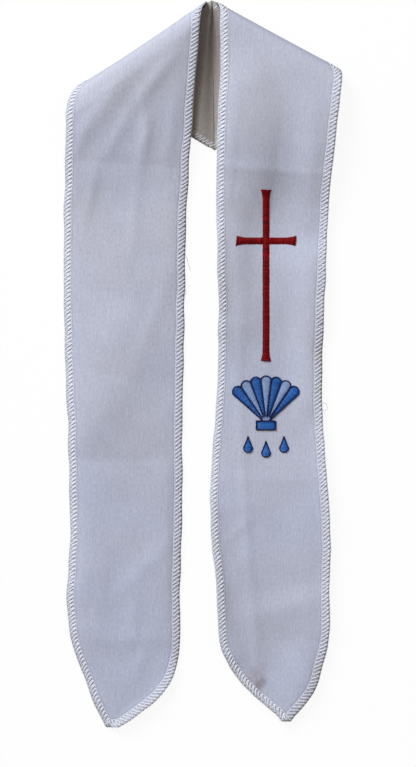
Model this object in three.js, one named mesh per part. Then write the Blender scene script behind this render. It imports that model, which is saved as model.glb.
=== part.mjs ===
// A baptism stole laid flat: two bands of white twill joined at the centre back, each folded over at its shoulder,
// with an embroidered cross, shell and drops on the right front.
// Millimetres. +Z up from the surface it lies on, +Y towards the neck, +X towards the embroidered front.
// The origin is the middle of the stole's outline, on the surface.
import * as THREE from 'three';
import { mergeVertices } from 'three/addons/utils/BufferGeometryUtils.js';

// Driving dimensions
const WALL = 1.2; // cloth with its interlining
const CLEARANCE = 0.3; // between pieces that are sewn together
const THREAD_HEIGHT = 1; // satin stitch over the cloth
const COLUMNS = 12; // facets across a band
const DESCENT_SECTIONS = 8; // from where a front rests up to the crest of its fold
const FOLD_SECTIONS = 10; // round a shoulder fold
const BACK_SECTIONS = 5; // from a fold to the centre-back seam
const FRONT_STEP = 18; // between sections down a front
const TIP_STEPS = 12; // sections down a pointed end
const CREASE_WIDTH = 9; // from the middle of a packing crease to where it fades

// The centre-back seam, from the neck edge to the lower edge.
const SEAM = { top: [8.3, 302.9], bottom: [10.5, 177] };

// Each half has its two long edges by level, from the pointed end up to the crest of the shoulder fold. Its front
// rests on the surface below restLevel. Above that it rises to the crest, turns over at the fold line and lands on the
// surface again as the back neck. Every fold line runs from the inner, neck edge to the outer edge.
const LEFT = {
  inner: [
    { level: -302.9, x: -70 },
    { level: -299, x: -63.5 },
    { level: -290, x: -50.5 },
    { level: -279, x: -37 },
    { level: -266, x: -27 },
    { level: -250, x: -21 },
    { level: -228, x: -18.5 },
    { level: -190, x: -18.8 },
    { level: -135, x: -17 },
    { level: -60, x: -16.7 },
    { level: 0, x: -15.8 },
    { level: 60, x: -14.6 },
    { level: 120, x: -13.4 },
    { level: 167, x: -11 },
    { level: 205, x: -8.2 },
    { level: 240, x: -5.7 },
    { level: 283, x: -1.8 },
  ],
  outer: [
    { level: -302.9, x: -80.5 },
    { level: -299, x: -82.5 },
    { level: -279, x: -91.5 },
    { level: -266, x: -96.5 },
    { level: -250, x: -103 },
    { level: -238, x: -107 },
    { level: -225, x: -110.2 },
    { level: -195, x: -112.5 },
    { level: -140, x: -110.2 },
    { level: -60, x: -111.7 },
    { level: 0, x: -114 },
    { level: 60, x: -115.4 },
    { level: 120, x: -115 },
    { level: 167, x: -114 },
    { level: 203, x: -113.2 },
  ],
  restLevel: 167,
  taperLevel: -228,
  crease: { level: -79, rise: 1.6 },
  crest: { inner: [-1.8, 283], outer: [-113.2, 203] },
  fold: { inner: [3.5, 300.4], outer: [-104, 229.9] },
  foldSag: 1.2, // how far the fold line bows below a straight line
  landing: { inner: [5.2, 300.8], outer: [-80, 224.5] },
  rise: { inner: 19, outer: 12 },
  backBow: 1.8, // how far the back neck's lower edge bows above a straight line
  side: -1,
};

const RIGHT = {
  inner: [
    { level: -297.9, x: 67 },
    { level: -292, x: 61.5 },
    { level: -280, x: 47 },
    { level: -265, x: 32 },
    { level: -250, x: 21.5 },
    { level: -236, x: 15.6 },
    { level: -215, x: 13.3 },
    { level: -180, x: 11.2 },
    { level: -150, x: 7.8 },
    { level: -118, x: 6.6 },
    { level: -80, x: 7.8 },
    { level: -45, x: 11 },
    { level: -10, x: 12.8 },
    { level: 40, x: 13.3 },
    { level: 110, x: 11.8 },
    { level: 160, x: 11.7 },
    { level: 215, x: 13.3 },
    { level: 255, x: 15.4 },
    { level: 283, x: 15 },
  ],
  outer: [
    { level: -297.9, x: 74 },
    { level: -294, x: 76.5 },
    { level: -288, x: 81.6 },
    { level: -278, x: 89.6 },
    { level: -265, x: 96.2 },
    { level: -250, x: 100.6 },
    { level: -234, x: 104.6 },
    { level: -190, x: 105.9 },
    { level: -150, x: 106.6 },
    { level: -112, x: 105 },
    { level: -75, x: 102 },
    { level: -40, x: 100 },
    { level: -10, x: 99.6 },
    { level: 60, x: 102.2 },
    { level: 120, x: 104.6 },
    { level: 165, x: 108 },
    { level: 198, x: 111.5 },
    { level: 222, x: 114.1 },
  ],
  restLevel: 160,
  taperLevel: -236,
  crease: { level: -97, rise: 1.6 },
  crest: { inner: [15, 283], outer: [114.1, 222] },
  fold: { inner: [11.5, 300.4], outer: [112.6, 245.9] },
  foldSag: 0.3,
  landing: { inner: [10.8, 300.8], outer: [90, 234.5] },
  rise: { inner: 18, outer: 12 },
  backBow: 0,
  side: 1,
};

// Embroidery, by its place on the right front.
const MOTIF_X = 53;
const CROSS = { top: 146, bottom: 2, arms: 102, halfSpan: 25, halfWidth: 2.9, flare: 1.7, flareLength: 9 };
const SHELL = { hinge: -50, radius: 39, spread: 0.84, ribs: 7, lobe: 2.4, ear: 8, earDrop: 5 };
const DROP = { halfWidth: 3.8, length: 14 };
const DROPS = [
  { name: 'embroidered_drop_left', across: -15, top: -60 },
  { name: 'embroidered_drop_middle', across: 0, top: -64 },
  { name: 'embroidered_drop_right', across: 15, top: -60 },
];

const CLOTH = new THREE.MeshStandardMaterial({ name: 'white_twill', color: 0xd9dbe8, roughness: 0.85, metalness: 0 });
const RED_THREAD = new THREE.MeshStandardMaterial({ name: 'red_thread', color: 0xa11318, roughness: 0.45, metalness: 0 });
const BLUE_THREAD = new THREE.MeshStandardMaterial({ name: 'blue_thread', color: 0x2c68bb, roughness: 0.45, metalness: 0 });

// An edge of a half as a smooth function of the level.
function edgeCurve(rows) {
  const levels = rows.map((row) => row.level);
  const places = rows.map((row) => row.x);
  const curve = new THREE.CubicInterpolant(levels, places, 1, new Float64Array(1));
  return (level) => new THREE.Vector2(curve.evaluate(level)[0], level);
}

// Height of a front's underside where it rests: nothing but the packing crease.
function creaseRise(half, level) {
  const away = (level - half.crease.level) / CREASE_WIDTH;
  return half.crease.rise * Math.exp(-2 * away * away);
}

// The levels of the sections from the pointed end up to where the front leaves the surface.
function restingLevels(half) {
  const tip = half.inner[0].level;
  const levels = [];
  for (let step = 0; step < TIP_STEPS; step += 1) {
    // Closest together at the very end, where the outline turns fastest.
    const share = step / TIP_STEPS;
    levels.push(tip + (half.taperLevel - tip) * share ** 1.25);
  }
  const count = Math.round((half.restLevel - half.taperLevel) / FRONT_STEP);
  for (let step = 0; step <= count; step += 1) {
    levels.push(THREE.MathUtils.lerp(half.taperLevel, half.restLevel, step / count));
  }
  const clear = levels.filter((level) => Math.abs(level - half.crease.level) > 1.6 * CREASE_WIDTH);
  for (const share of [-1.2, -0.6, 0, 0.6, 1.2]) {
    clear.push(half.crease.level + share * CREASE_WIDTH);
  }
  return clear.sort((a, b) => a - b);
}

// One section of a half: evenly spaced points from the inner to the outer edge, in the middle of the wall.
function section(inner, outer, riseInner, riseOuter, sag = 0) {
  const points = [];
  for (let column = 0; column <= COLUMNS; column += 1) {
    const share = column / COLUMNS;
    const plan = inner.clone().lerp(outer, share);
    plan.y -= sag * 4 * share * (1 - share);
    points.push(new THREE.Vector3(plan.x, plan.y, WALL / 2 + THREE.MathUtils.lerp(riseInner, riseOuter, share)));
  }
  return points;
}

// The plan place part of the way round a quarter turn about the fold: it moves evenly along the fold and by turn
// across it, as cloth wound slantwise on a roll does.
function windRound(from, to, along, travel, turn) {
  const across = new THREE.Vector2(-along.y, along.x);
  const step = to.clone().sub(from);
  return from
    .clone()
    .addScaledVector(along, step.dot(along) * travel)
    .addScaledVector(across, step.dot(across) * turn);
}

// All sections of a half, from its pointed end to the centre-back seam.
function halfSections(half) {
  const innerEdge = edgeCurve(half.inner);
  const outerEdge = edgeCurve(half.outer);
  const vector = (place) => new THREE.Vector2(...place);
  const [crestIn, crestOut] = [vector(half.crest.inner), vector(half.crest.outer)];
  const [foldIn, foldOut] = [vector(half.fold.inner), vector(half.fold.outer)];
  const [landIn, landOut] = [vector(half.landing.inner), vector(half.landing.outer)];
  const along = foldIn.clone().sub(foldOut).normalize();
  const sections = [];

  for (const level of restingLevels(half)) {
    const rise = creaseRise(half, level);
    sections.push(section(innerEdge(level), outerEdge(level), rise, rise));
  }

  for (let step = 1; step <= DESCENT_SECTIONS; step += 1) {
    const share = step / DESCENT_SECTIONS;
    const rise = Math.sin((Math.PI / 2) * share);
    const inner = innerEdge(THREE.MathUtils.lerp(half.restLevel, crestIn.y, share));
    const outer = outerEdge(THREE.MathUtils.lerp(half.restLevel, crestOut.y, share));
    const sag = half.foldSag * share * share;
    sections.push(section(inner, outer, half.rise.inner * rise, half.rise.outer * rise, sag));
  }

  for (let step = 1; step <= FOLD_SECTIONS; step += 1) {
    const quarters = (2 * step) / FOLD_SECTIONS;
    const turn = Math.sin((Math.PI / 2) * quarters);
    const rise = (1 + Math.cos((Math.PI / 2) * quarters)) / 2;
    const upper = quarters <= 1;
    const wind = (crest, fold, landing) => upper
      ? windRound(crest, fold, along, quarters, turn)
      : windRound(fold, landing, along, quarters - 1, 1 - turn);
    const inner = wind(crestIn, foldIn, landIn);
    const outer = wind(crestOut, foldOut, landOut);
    const sag = half.foldSag * (upper ? 1 : turn);
    sections.push(section(inner, outer, half.rise.inner * rise, half.rise.outer * rise, sag));
  }

  const seamShift = new THREE.Vector2((half.side * CLEARANCE) / 2, 0);
  const seamTop = vector(SEAM.top).add(seamShift);
  const seamBottom = vector(SEAM.bottom).add(seamShift);
  for (let step = 1; step <= BACK_SECTIONS; step += 1) {
    const share = step / BACK_SECTIONS;
    const outer = landOut.clone().lerp(seamBottom, share);
    outer.y += half.backBow * 4 * share * (1 - share);
    sections.push(section(landIn.clone().lerp(seamTop, share), outer, 0, 0));
  }
  return sections;
}

// Unit normal of the cloth at a point of its grid of sections, on the side that is upwards on the fronts.
function clothNormal(sections, row, column, side) {
  const rowAfter = sections[Math.min(row + 1, sections.length - 1)][column];
  const rowBefore = sections[Math.max(row - 1, 0)][column];
  const columnAfter = sections[row][Math.min(column + 1, COLUMNS)];
  const columnBefore = sections[row][Math.max(column - 1, 0)];
  const length = rowAfter.clone().sub(rowBefore);
  const width = columnAfter.clone().sub(columnBefore);
  return width.cross(length).multiplyScalar(side).normalize();
}

// A closed wall round a grid of sections: an upper and a lower skin, and a strip round the edge.
function clothWall(sections, side) {
  const rows = sections.length;
  const columns = COLUMNS + 1;
  const positions = [];
  for (const skin of [0.5, -0.5]) {
    for (let row = 0; row < rows; row += 1) {
      for (let column = 0; column < columns; column += 1) {
        const normal = clothNormal(sections, row, column, side);
        positions.push(...sections[row][column].clone().addScaledVector(normal, skin * WALL).toArray());
      }
    }
  }
  const indices = [];
  const face = (a, b, c) => indices.push(...(side > 0 ? [a, b, c] : [a, c, b]));
  const quad = (a, b, c, d) => {
    face(a, b, c);
    face(a, c, d);
  };
  const upper = (row, column) => row * columns + column;
  const lower = (row, column) => rows * columns + upper(row, column);
  for (let row = 0; row < rows - 1; row += 1) {
    for (let column = 0; column < columns - 1; column += 1) {
      quad(upper(row, column), upper(row, column + 1), upper(row + 1, column + 1), upper(row + 1, column));
      quad(lower(row, column), lower(row + 1, column), lower(row + 1, column + 1), lower(row, column + 1));
    }
    quad(upper(row, 0), upper(row + 1, 0), lower(row + 1, 0), lower(row, 0));
    quad(upper(row + 1, COLUMNS), upper(row, COLUMNS), lower(row, COLUMNS), lower(row + 1, COLUMNS));
  }
  const last = rows - 1;
  for (let column = 0; column < columns - 1; column += 1) {
    quad(upper(0, column + 1), upper(0, column), lower(0, column), lower(0, column + 1));
    quad(upper(last, column), upper(last, column + 1), lower(last, column + 1), lower(last, column));
  }
  const geometry = new THREE.BufferGeometry();
  geometry.setAttribute('position', new THREE.Float32BufferAttribute(positions, 3));
  geometry.setIndex(indices);
  return geometry;
}

// A closed outline raised into satin stitch that lies just clear of the right front.
function raisedStitch(outline) {
  const extruded = new THREE.ExtrudeGeometry(outline, { depth: THREAD_HEIGHT, bevelEnabled: false, curveSegments: 6 });
  extruded.deleteAttribute('normal');
  extruded.deleteAttribute('uv');
  const geometry = mergeVertices(extruded, 1e-3);
  const position = geometry.getAttribute('position');
  for (let index = 0; index < position.count; index += 1) {
    const frontTop = WALL + creaseRise(RIGHT, position.getY(index));
    position.setZ(index, position.getZ(index) + frontTop + CLEARANCE);
  }
  return geometry;
}

// A slender Latin cross whose four ends flare.
function crossOutline() {
  const { top, bottom, arms, halfSpan, halfWidth, flare, flareLength } = CROSS;
  const outline = new THREE.Shape();
  const corners = [
    [halfWidth, halfWidth],
    [halfWidth, -halfWidth],
    [-halfWidth, -halfWidth],
    [-halfWidth, halfWidth],
  ];
  const ends = [
    { reach: top - arms, along: [0, 1] },
    { reach: halfSpan, along: [1, 0] },
    { reach: arms - bottom, along: [0, -1] },
    { reach: halfSpan, along: [-1, 0] },
  ];
  const place = (along, reach, across) => [
    MOTIF_X + along[0] * reach - along[1] * across,
    arms + along[1] * reach + along[0] * across,
  ];
  outline.moveTo(MOTIF_X + corners[3][0], arms + corners[3][1]);
  ends.forEach(({ reach, along }, index) => {
    const wide = halfWidth + flare;
    outline.lineTo(...place(along, reach - flareLength, halfWidth));
    outline.quadraticCurveTo(...place(along, reach - flareLength / 3, halfWidth), ...place(along, reach, wide));
    outline.lineTo(...place(along, reach, -wide));
    const inner = place(along, reach - flareLength / 3, -halfWidth);
    outline.quadraticCurveTo(...inner, ...place(along, reach - flareLength, -halfWidth));
    outline.lineTo(MOTIF_X + corners[index][0], arms + corners[index][1]);
  });
  return outline;
}

// A scallop shell: ribs fan up from a hinge with two ears, and each rib ends in a lobe.
function shellOutline() {
  const { hinge, radius, spread, ribs, lobe, ear, earDrop } = SHELL;
  const outline = new THREE.Shape();
  const rim = (angle, reach) => [MOTIF_X + Math.sin(angle) * reach, hinge + Math.cos(angle) * reach];
  outline.moveTo(MOTIF_X - ear, hinge - earDrop);
  outline.lineTo(MOTIF_X - ear, hinge + earDrop * 0.4);
  for (let rib = 0; rib <= ribs; rib += 1) {
    const angle = THREE.MathUtils.lerp(-spread, spread, rib / ribs);
    const valley = rim(angle, radius - lobe);
    if (rib === 0) {
      outline.lineTo(...valley);
    } else {
      const crown = rim(angle - spread / ribs, radius + lobe);
      outline.quadraticCurveTo(...crown, ...valley);
    }
  }
  outline.lineTo(MOTIF_X + ear, hinge + earDrop * 0.4);
  outline.lineTo(MOTIF_X + ear, hinge - earDrop);
  outline.closePath();
  return outline;
}

// A drop with a sharp top and a round foot.
function dropOutline(across, top) {
  const { halfWidth, length } = DROP;
  const x = MOTIF_X + across;
  const shoulder = top - length + halfWidth;
  const outline = new THREE.Shape();
  outline.moveTo(x, top);
  outline.quadraticCurveTo(x + halfWidth * 0.35, top - length * 0.35, x + halfWidth, shoulder);
  outline.absarc(x, shoulder, halfWidth, 0, Math.PI, true);
  outline.quadraticCurveTo(x - halfWidth * 0.35, top - length * 0.35, x, top);
  return outline;
}

function piece(name, geometry, material) {
  const mesh = new THREE.Mesh(geometry, material);
  mesh.name = name;
  return mesh;
}

const stole = new THREE.Group();
stole.add(piece('left_half', clothWall(halfSections(LEFT), LEFT.side), CLOTH));
stole.add(piece('right_half', clothWall(halfSections(RIGHT), RIGHT.side), CLOTH));

const embroidery = new THREE.Group();
embroidery.add(piece('embroidered_cross', raisedStitch(crossOutline()), RED_THREAD));
embroidery.add(piece('embroidered_shell', raisedStitch(shellOutline()), BLUE_THREAD));
for (const { name, across, top } of DROPS) {
  embroidery.add(piece(name, raisedStitch(dropOutline(across, top)), BLUE_THREAD));
}
stole.add(embroidery);

export default stole;
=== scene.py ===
"""Looks of a baptism stole laid flat: white twill, overlocked edges and satin-stitch embroidery.

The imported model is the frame. Each half of the stole is rebuilt as a thin sheet of cloth on its solid's form,
and the overlocked edge and the embroidery are laid on it thread by thread. Sizes are in millimetres unless a
name or a docstring says otherwise, with +X towards the embroidered front, +Y towards the neck and +Z up from
the surface that the stole lies on. Meshes are written in metres.
"""

from __future__ import annotations

import logging
import math
from dataclasses import dataclass, field
from enum import Enum
from typing import Iterable, Sequence

import bpy
import numpy as np
from bpy.types import Material, Node, NodeTree, Object
from bpy.types import NodeSocket as Socket
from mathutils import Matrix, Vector
from mathutils.bvhtree import BVHTree

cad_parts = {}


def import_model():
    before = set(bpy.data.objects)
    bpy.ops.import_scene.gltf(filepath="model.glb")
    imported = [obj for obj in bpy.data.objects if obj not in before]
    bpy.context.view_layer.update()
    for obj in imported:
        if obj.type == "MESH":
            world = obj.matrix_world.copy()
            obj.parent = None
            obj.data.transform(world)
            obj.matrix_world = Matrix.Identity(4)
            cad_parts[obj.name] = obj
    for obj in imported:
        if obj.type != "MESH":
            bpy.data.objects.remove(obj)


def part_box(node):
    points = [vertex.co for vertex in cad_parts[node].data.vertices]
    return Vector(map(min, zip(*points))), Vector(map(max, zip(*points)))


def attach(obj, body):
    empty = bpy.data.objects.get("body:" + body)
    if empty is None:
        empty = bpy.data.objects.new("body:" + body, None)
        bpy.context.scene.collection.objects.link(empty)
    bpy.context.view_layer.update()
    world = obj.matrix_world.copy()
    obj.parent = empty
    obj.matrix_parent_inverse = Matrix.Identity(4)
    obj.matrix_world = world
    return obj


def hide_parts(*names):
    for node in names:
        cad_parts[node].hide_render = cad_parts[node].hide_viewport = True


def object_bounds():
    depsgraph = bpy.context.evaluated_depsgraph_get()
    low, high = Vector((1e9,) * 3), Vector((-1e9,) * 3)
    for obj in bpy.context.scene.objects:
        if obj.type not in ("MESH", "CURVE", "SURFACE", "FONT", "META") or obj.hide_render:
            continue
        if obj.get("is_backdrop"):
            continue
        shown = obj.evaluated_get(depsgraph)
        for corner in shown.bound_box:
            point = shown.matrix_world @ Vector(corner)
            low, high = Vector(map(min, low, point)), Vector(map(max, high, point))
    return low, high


MM = 0.001
TINY = 1e-9
CUT_MAP = "cut"
THREAD_MAP = "thread"
BAKE_MAP = "OFBake"
HEM = "hem"
WRONG_SIDE = "wrong_side"
SHADE = "shade"

log = logging.getLogger("stole")

Array = np.ndarray
Place = tuple[float, float]
Colour = tuple[float, float, float]


class Side(Enum):
    """Which front of the stole, seen from above with the neck on top. The value is the way out along X."""

    LEFT = -1
    RIGHT = 1


class Skin(Enum):
    """The two skins of a sheet of cloth. The value is the way out along the cloth's normal."""

    FACE = 1
    WRONG = -1


# ---------- Shape helpers ----------


def middle_and_levels(node: str) -> tuple[float, float, float]:
    """Middle across the stole, lowest level and highest level of a node of the frame, in millimetres."""
    low, high = (np.array(corner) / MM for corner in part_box(node))
    return float(low[0] + high[0]) / 2.0, float(low[1]), float(high[1])


def ease(share: Array) -> Array:
    """Turns a share from 0 to 1 into one that starts and stops gently."""
    held = np.clip(share, 0.0, 1.0)
    return held * held * (3.0 - 2.0 * held)


def hump(share: Array, height: float | Array = 1.0) -> Array:
    """A bow that is 0 at shares 0 and 1 and has its full height midway."""
    return height * 4.0 * share * (1.0 - share)


def blend(start: Array, end: Array, share: Array) -> Array:
    """Mixes two arrays or numbers by a share, 0 for the first and 1 for the second."""
    return start + (end - start) * share


def unit(vectors: Array) -> Array:
    """Scales vectors, held along the last axis, to length 1."""
    return vectors / np.maximum(np.linalg.norm(vectors, axis=-1, keepdims=True), 1e-12)


def settled(height: Array, softness: float) -> Array:
    """Keeps cloth from sinking into what it lies on, with a soft bend where it touches down.

    Args:
        height: Height of the cloth over where it rests flat.
        softness: Twice the height left where the cloth would just touch.

    Returns:
        Heights that are never below 0.
    """
    return (height + np.hypot(height, softness)) / 2.0


def smoothed(values: Array, passes: int) -> Array:
    """Evens values out along their first axis and holds both ends.

    Args:
        values: The values.
        passes: How often each one is averaged with its neighbours.

    Returns:
        The evened values.
    """
    soft = values.copy()
    for _ in range(passes):
        soft[1:-1] = (soft[:-2] + 2.0 * soft[1:-1] + soft[2:]) / 4.0
    return soft


def travel_along(line: Array) -> Array:
    """Distance of each place of a line from its start."""
    return np.concatenate(((0.0,), np.cumsum(np.linalg.norm(np.diff(line, axis=0), axis=1))))


def places_at(wanted: Array, travel: Array, line: Array) -> Array:
    """Places at wanted distances along a plan line, given the travel to each of its own places."""
    return np.stack([np.interp(wanted, travel, line[:, k]) for k in range(2)], axis=-1)


@dataclass(frozen=True)
class EdgeLine:
    """A cut edge of a front, as its place across the stole at each level along it.

    Attributes:
        stations: Pairs of a level and the edge's place across, from the pointed end up.
    """

    stations: tuple[Place, ...]

    @property
    def tip(self) -> float:
        """The level of the pointed end."""
        return self.stations[0][0]

    def across(self, levels: Array) -> Array:
        """Reads the edge smoothly between its stations.

        Args:
            levels: Levels along the front.

        Returns:
            The edge's place across at each level.
        """
        known, places = np.array(self.stations).T
        secants = np.diff(places) / np.diff(known)
        slopes = np.concatenate((secants[:1], (secants[:-1] + secants[1:]) / 2.0, secants[-1:]))
        index = np.clip(np.searchsorted(known, levels) - 1, 0, len(known) - 2)
        span = known[index + 1] - known[index]
        share = (levels - known[index]) / span
        start = (1.0 + 2.0 * share) * (1.0 - share) ** 2 * places[index]
        leave = share * (1.0 - share) ** 2 * span * slopes[index]
        end = share**2 * (3.0 - 2.0 * share) * places[index + 1]
        arrive = share**2 * (share - 1.0) * span * slopes[index + 1]
        return start + leave + end + arrive


@dataclass(frozen=True)
class Span:
    """A line across a half, by the plan places of its ends.

    Attributes:
        inner: The end at the inner, neck edge.
        outer: The end at the outer edge.
    """

    inner: Place
    outer: Place

    @property
    def direction(self) -> Array:
        """Unit vector from the outer to the inner end."""
        return unit(np.subtract(self.inner, self.outer))


@dataclass(frozen=True)
class Crease:
    """A soft ridge in the cloth, or a trough where its rise is negative.

    Attributes:
        width: Distance from its middle line at which about a third of its height is left.
        rise: Height of its middle.
        pressed: Whether it is a pressed-in crease, with a sharp top and long flanks.
        right: Its width on the right of the way from start to end, where that differs.
        fade: Distance over which it fades past its ends, where that isn't in keeping with its width.
        fade_share: That distance as a share of its width, where it is.
        end_share: Share of its rise that is left at its ends.
        top_radius: Roundness of the top of a pressed crease.
    """

    start: Place
    end: Place
    width: float
    rise: float
    pressed: bool = False
    right: float = 0.0
    fade: float = 0.0
    fade_share: float = 1.6
    end_share: float = 0.6
    top_radius: float = 1.6

    def height(self, x: Array, y: Array) -> Array:
        """Height that the crease adds at plan places.

        Args:
            x: Places across the stole.
            y: Places along the stole.

        Returns:
            The added height at each place.
        """
        run = np.subtract(self.end, self.start)
        length = math.hypot(*run)
        along = ((x - self.start[0]) * run[0] + (y - self.start[1]) * run[1]) / length**2
        aside = ((y - self.start[1]) * run[0] - (x - self.start[0]) * run[1]) / length
        held = np.clip(along, 0.0, 1.0)
        right_width = self.right or self.width
        past = (along - held) * length / (self.fade or self.fade_share * min(self.width, right_width))
        strength = self.end_share + (1.0 - self.end_share) * np.sin(math.pi * held)
        width = np.where(aside < 0.0, right_width, self.width)
        if self.pressed:
            fall = (np.hypot(aside, self.top_radius) - self.top_radius) / width
        else:
            fall = (aside / width) ** 2
        return self.rise * strength * np.exp(-(past**2) - fall)


@dataclass(frozen=True)
class Ripple:
    """Faint uneven waving, as a sum of plane waves of seeded random directions.

    Attributes:
        height: Typical height over the mean.
    """

    seed: int
    shortest: float
    longest: float
    height: float
    waves: int = 16

    def at(self, x: Array, y: Array) -> Array:
        """Height of the waving at plan places.

        Args:
            x: Places across the stole.
            y: Places along the stole.

        Returns:
            The height at each place.
        """
        chance = np.random.default_rng(self.seed)
        lengths = chance.uniform(self.shortest, self.longest, self.waves)
        turns = chance.uniform(0.0, math.tau, self.waves)
        phases = chance.uniform(0.0, math.tau, self.waves)
        total = np.zeros(np.broadcast(x, y).shape)
        for length, turn, phase in zip(lengths, turns, phases):
            total += np.sin(math.tau * (x * math.cos(turn) + y * math.sin(turn)) / length + phase)
        return total * self.height * math.sqrt(2.0 / self.waves)


# ---------- Mesh helpers ----------


@dataclass
class MeshDraft:
    """A mesh before it is written: points in millimetres, faces, and what the points and corners carry.

    Attributes:
        point_values: Numbers for each point, by attribute name.
        corner_maps: A pair of numbers for each corner of each face in turn, by map name.
        flat_faces: How many of the last faces are shaded flat.
    """

    points: Array
    faces: list[Sequence[int]]
    point_values: dict[str, Array] = field(default_factory=dict)
    corner_maps: dict[str, Array] = field(default_factory=dict)
    flat_faces: int = 0

    def build(self, name: str) -> Object:
        """Writes the mesh in metres and links its object.

        Args:
            name: Name of the object and of its mesh.

        Returns:
            The new object.
        """
        mesh = bpy.data.meshes.new(name)
        mesh.from_pydata((self.points * MM).tolist(), [], self.faces)
        for key, values in self.point_values.items():
            layer = mesh.attributes.new(key, "FLOAT", "POINT")
            layer.data.foreach_set("value", np.asarray(values, np.float32).ravel())
        for key, pairs in self.corner_maps.items():
            layer = mesh.uv_layers.new(name=key)
            layer.data.foreach_set("uv", np.asarray(pairs, np.float32).ravel())
        smooth = np.arange(len(mesh.polygons)) < len(mesh.polygons) - self.flat_faces
        mesh.polygons.foreach_set("use_smooth", smooth)
        mesh.update()
        made = bpy.data.objects.new(name, mesh)
        bpy.context.scene.collection.objects.link(made)
        return made


# ---------- Cloth ----------


@dataclass(frozen=True)
class Row:
    """One straight row of cloth from the inner to the outer edge.

    Attributes:
        rise_inner: Height of its inner end over where the cloth rests.
        rise_outer: Height of its outer end.
        sag: How far its middle bows towards the pointed end, in plan.
        axis: Unit vector of the line about which the cloth turns here, in plan.
        front: Share of the front's creases that it takes.
        back: Share of the back neck's creases that it takes.
        loose: 0 where it rests on the surface and 1 where it is held clear of it.
    """

    inner: Array
    outer: Array
    rise_inner: float = 0.0
    rise_outer: float = 0.0
    sag: float = 0.0
    axis: Sequence[float] = (1.0, 0.0)
    front: float = 0.0
    back: float = 0.0
    loose: float = 0.0


def each(rows: Sequence[Row], name: str) -> Array:
    """One attribute of every row, with an axis of length 1 for the points across."""
    return np.array([getattr(row, name) for row in rows])[:, None]


@dataclass
class ClothGrid:
    """A half's cloth as a grid of rows from its pointed end to the centre-back seam.

    Attributes:
        middle: Place of the middle of the cloth at each row and column.
        normal: Unit normal there, on the face side.
        cut: Place there on the flat, unfolded cut.
        hem: Distance there to the nearest overlocked edge.
    """

    middle: Array
    normal: Array
    cut: Array
    hem: Array

    @property
    def shape(self) -> tuple[int, int]:
        """Numbers of rows and columns."""
        return self.middle.shape[:2]


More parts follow.
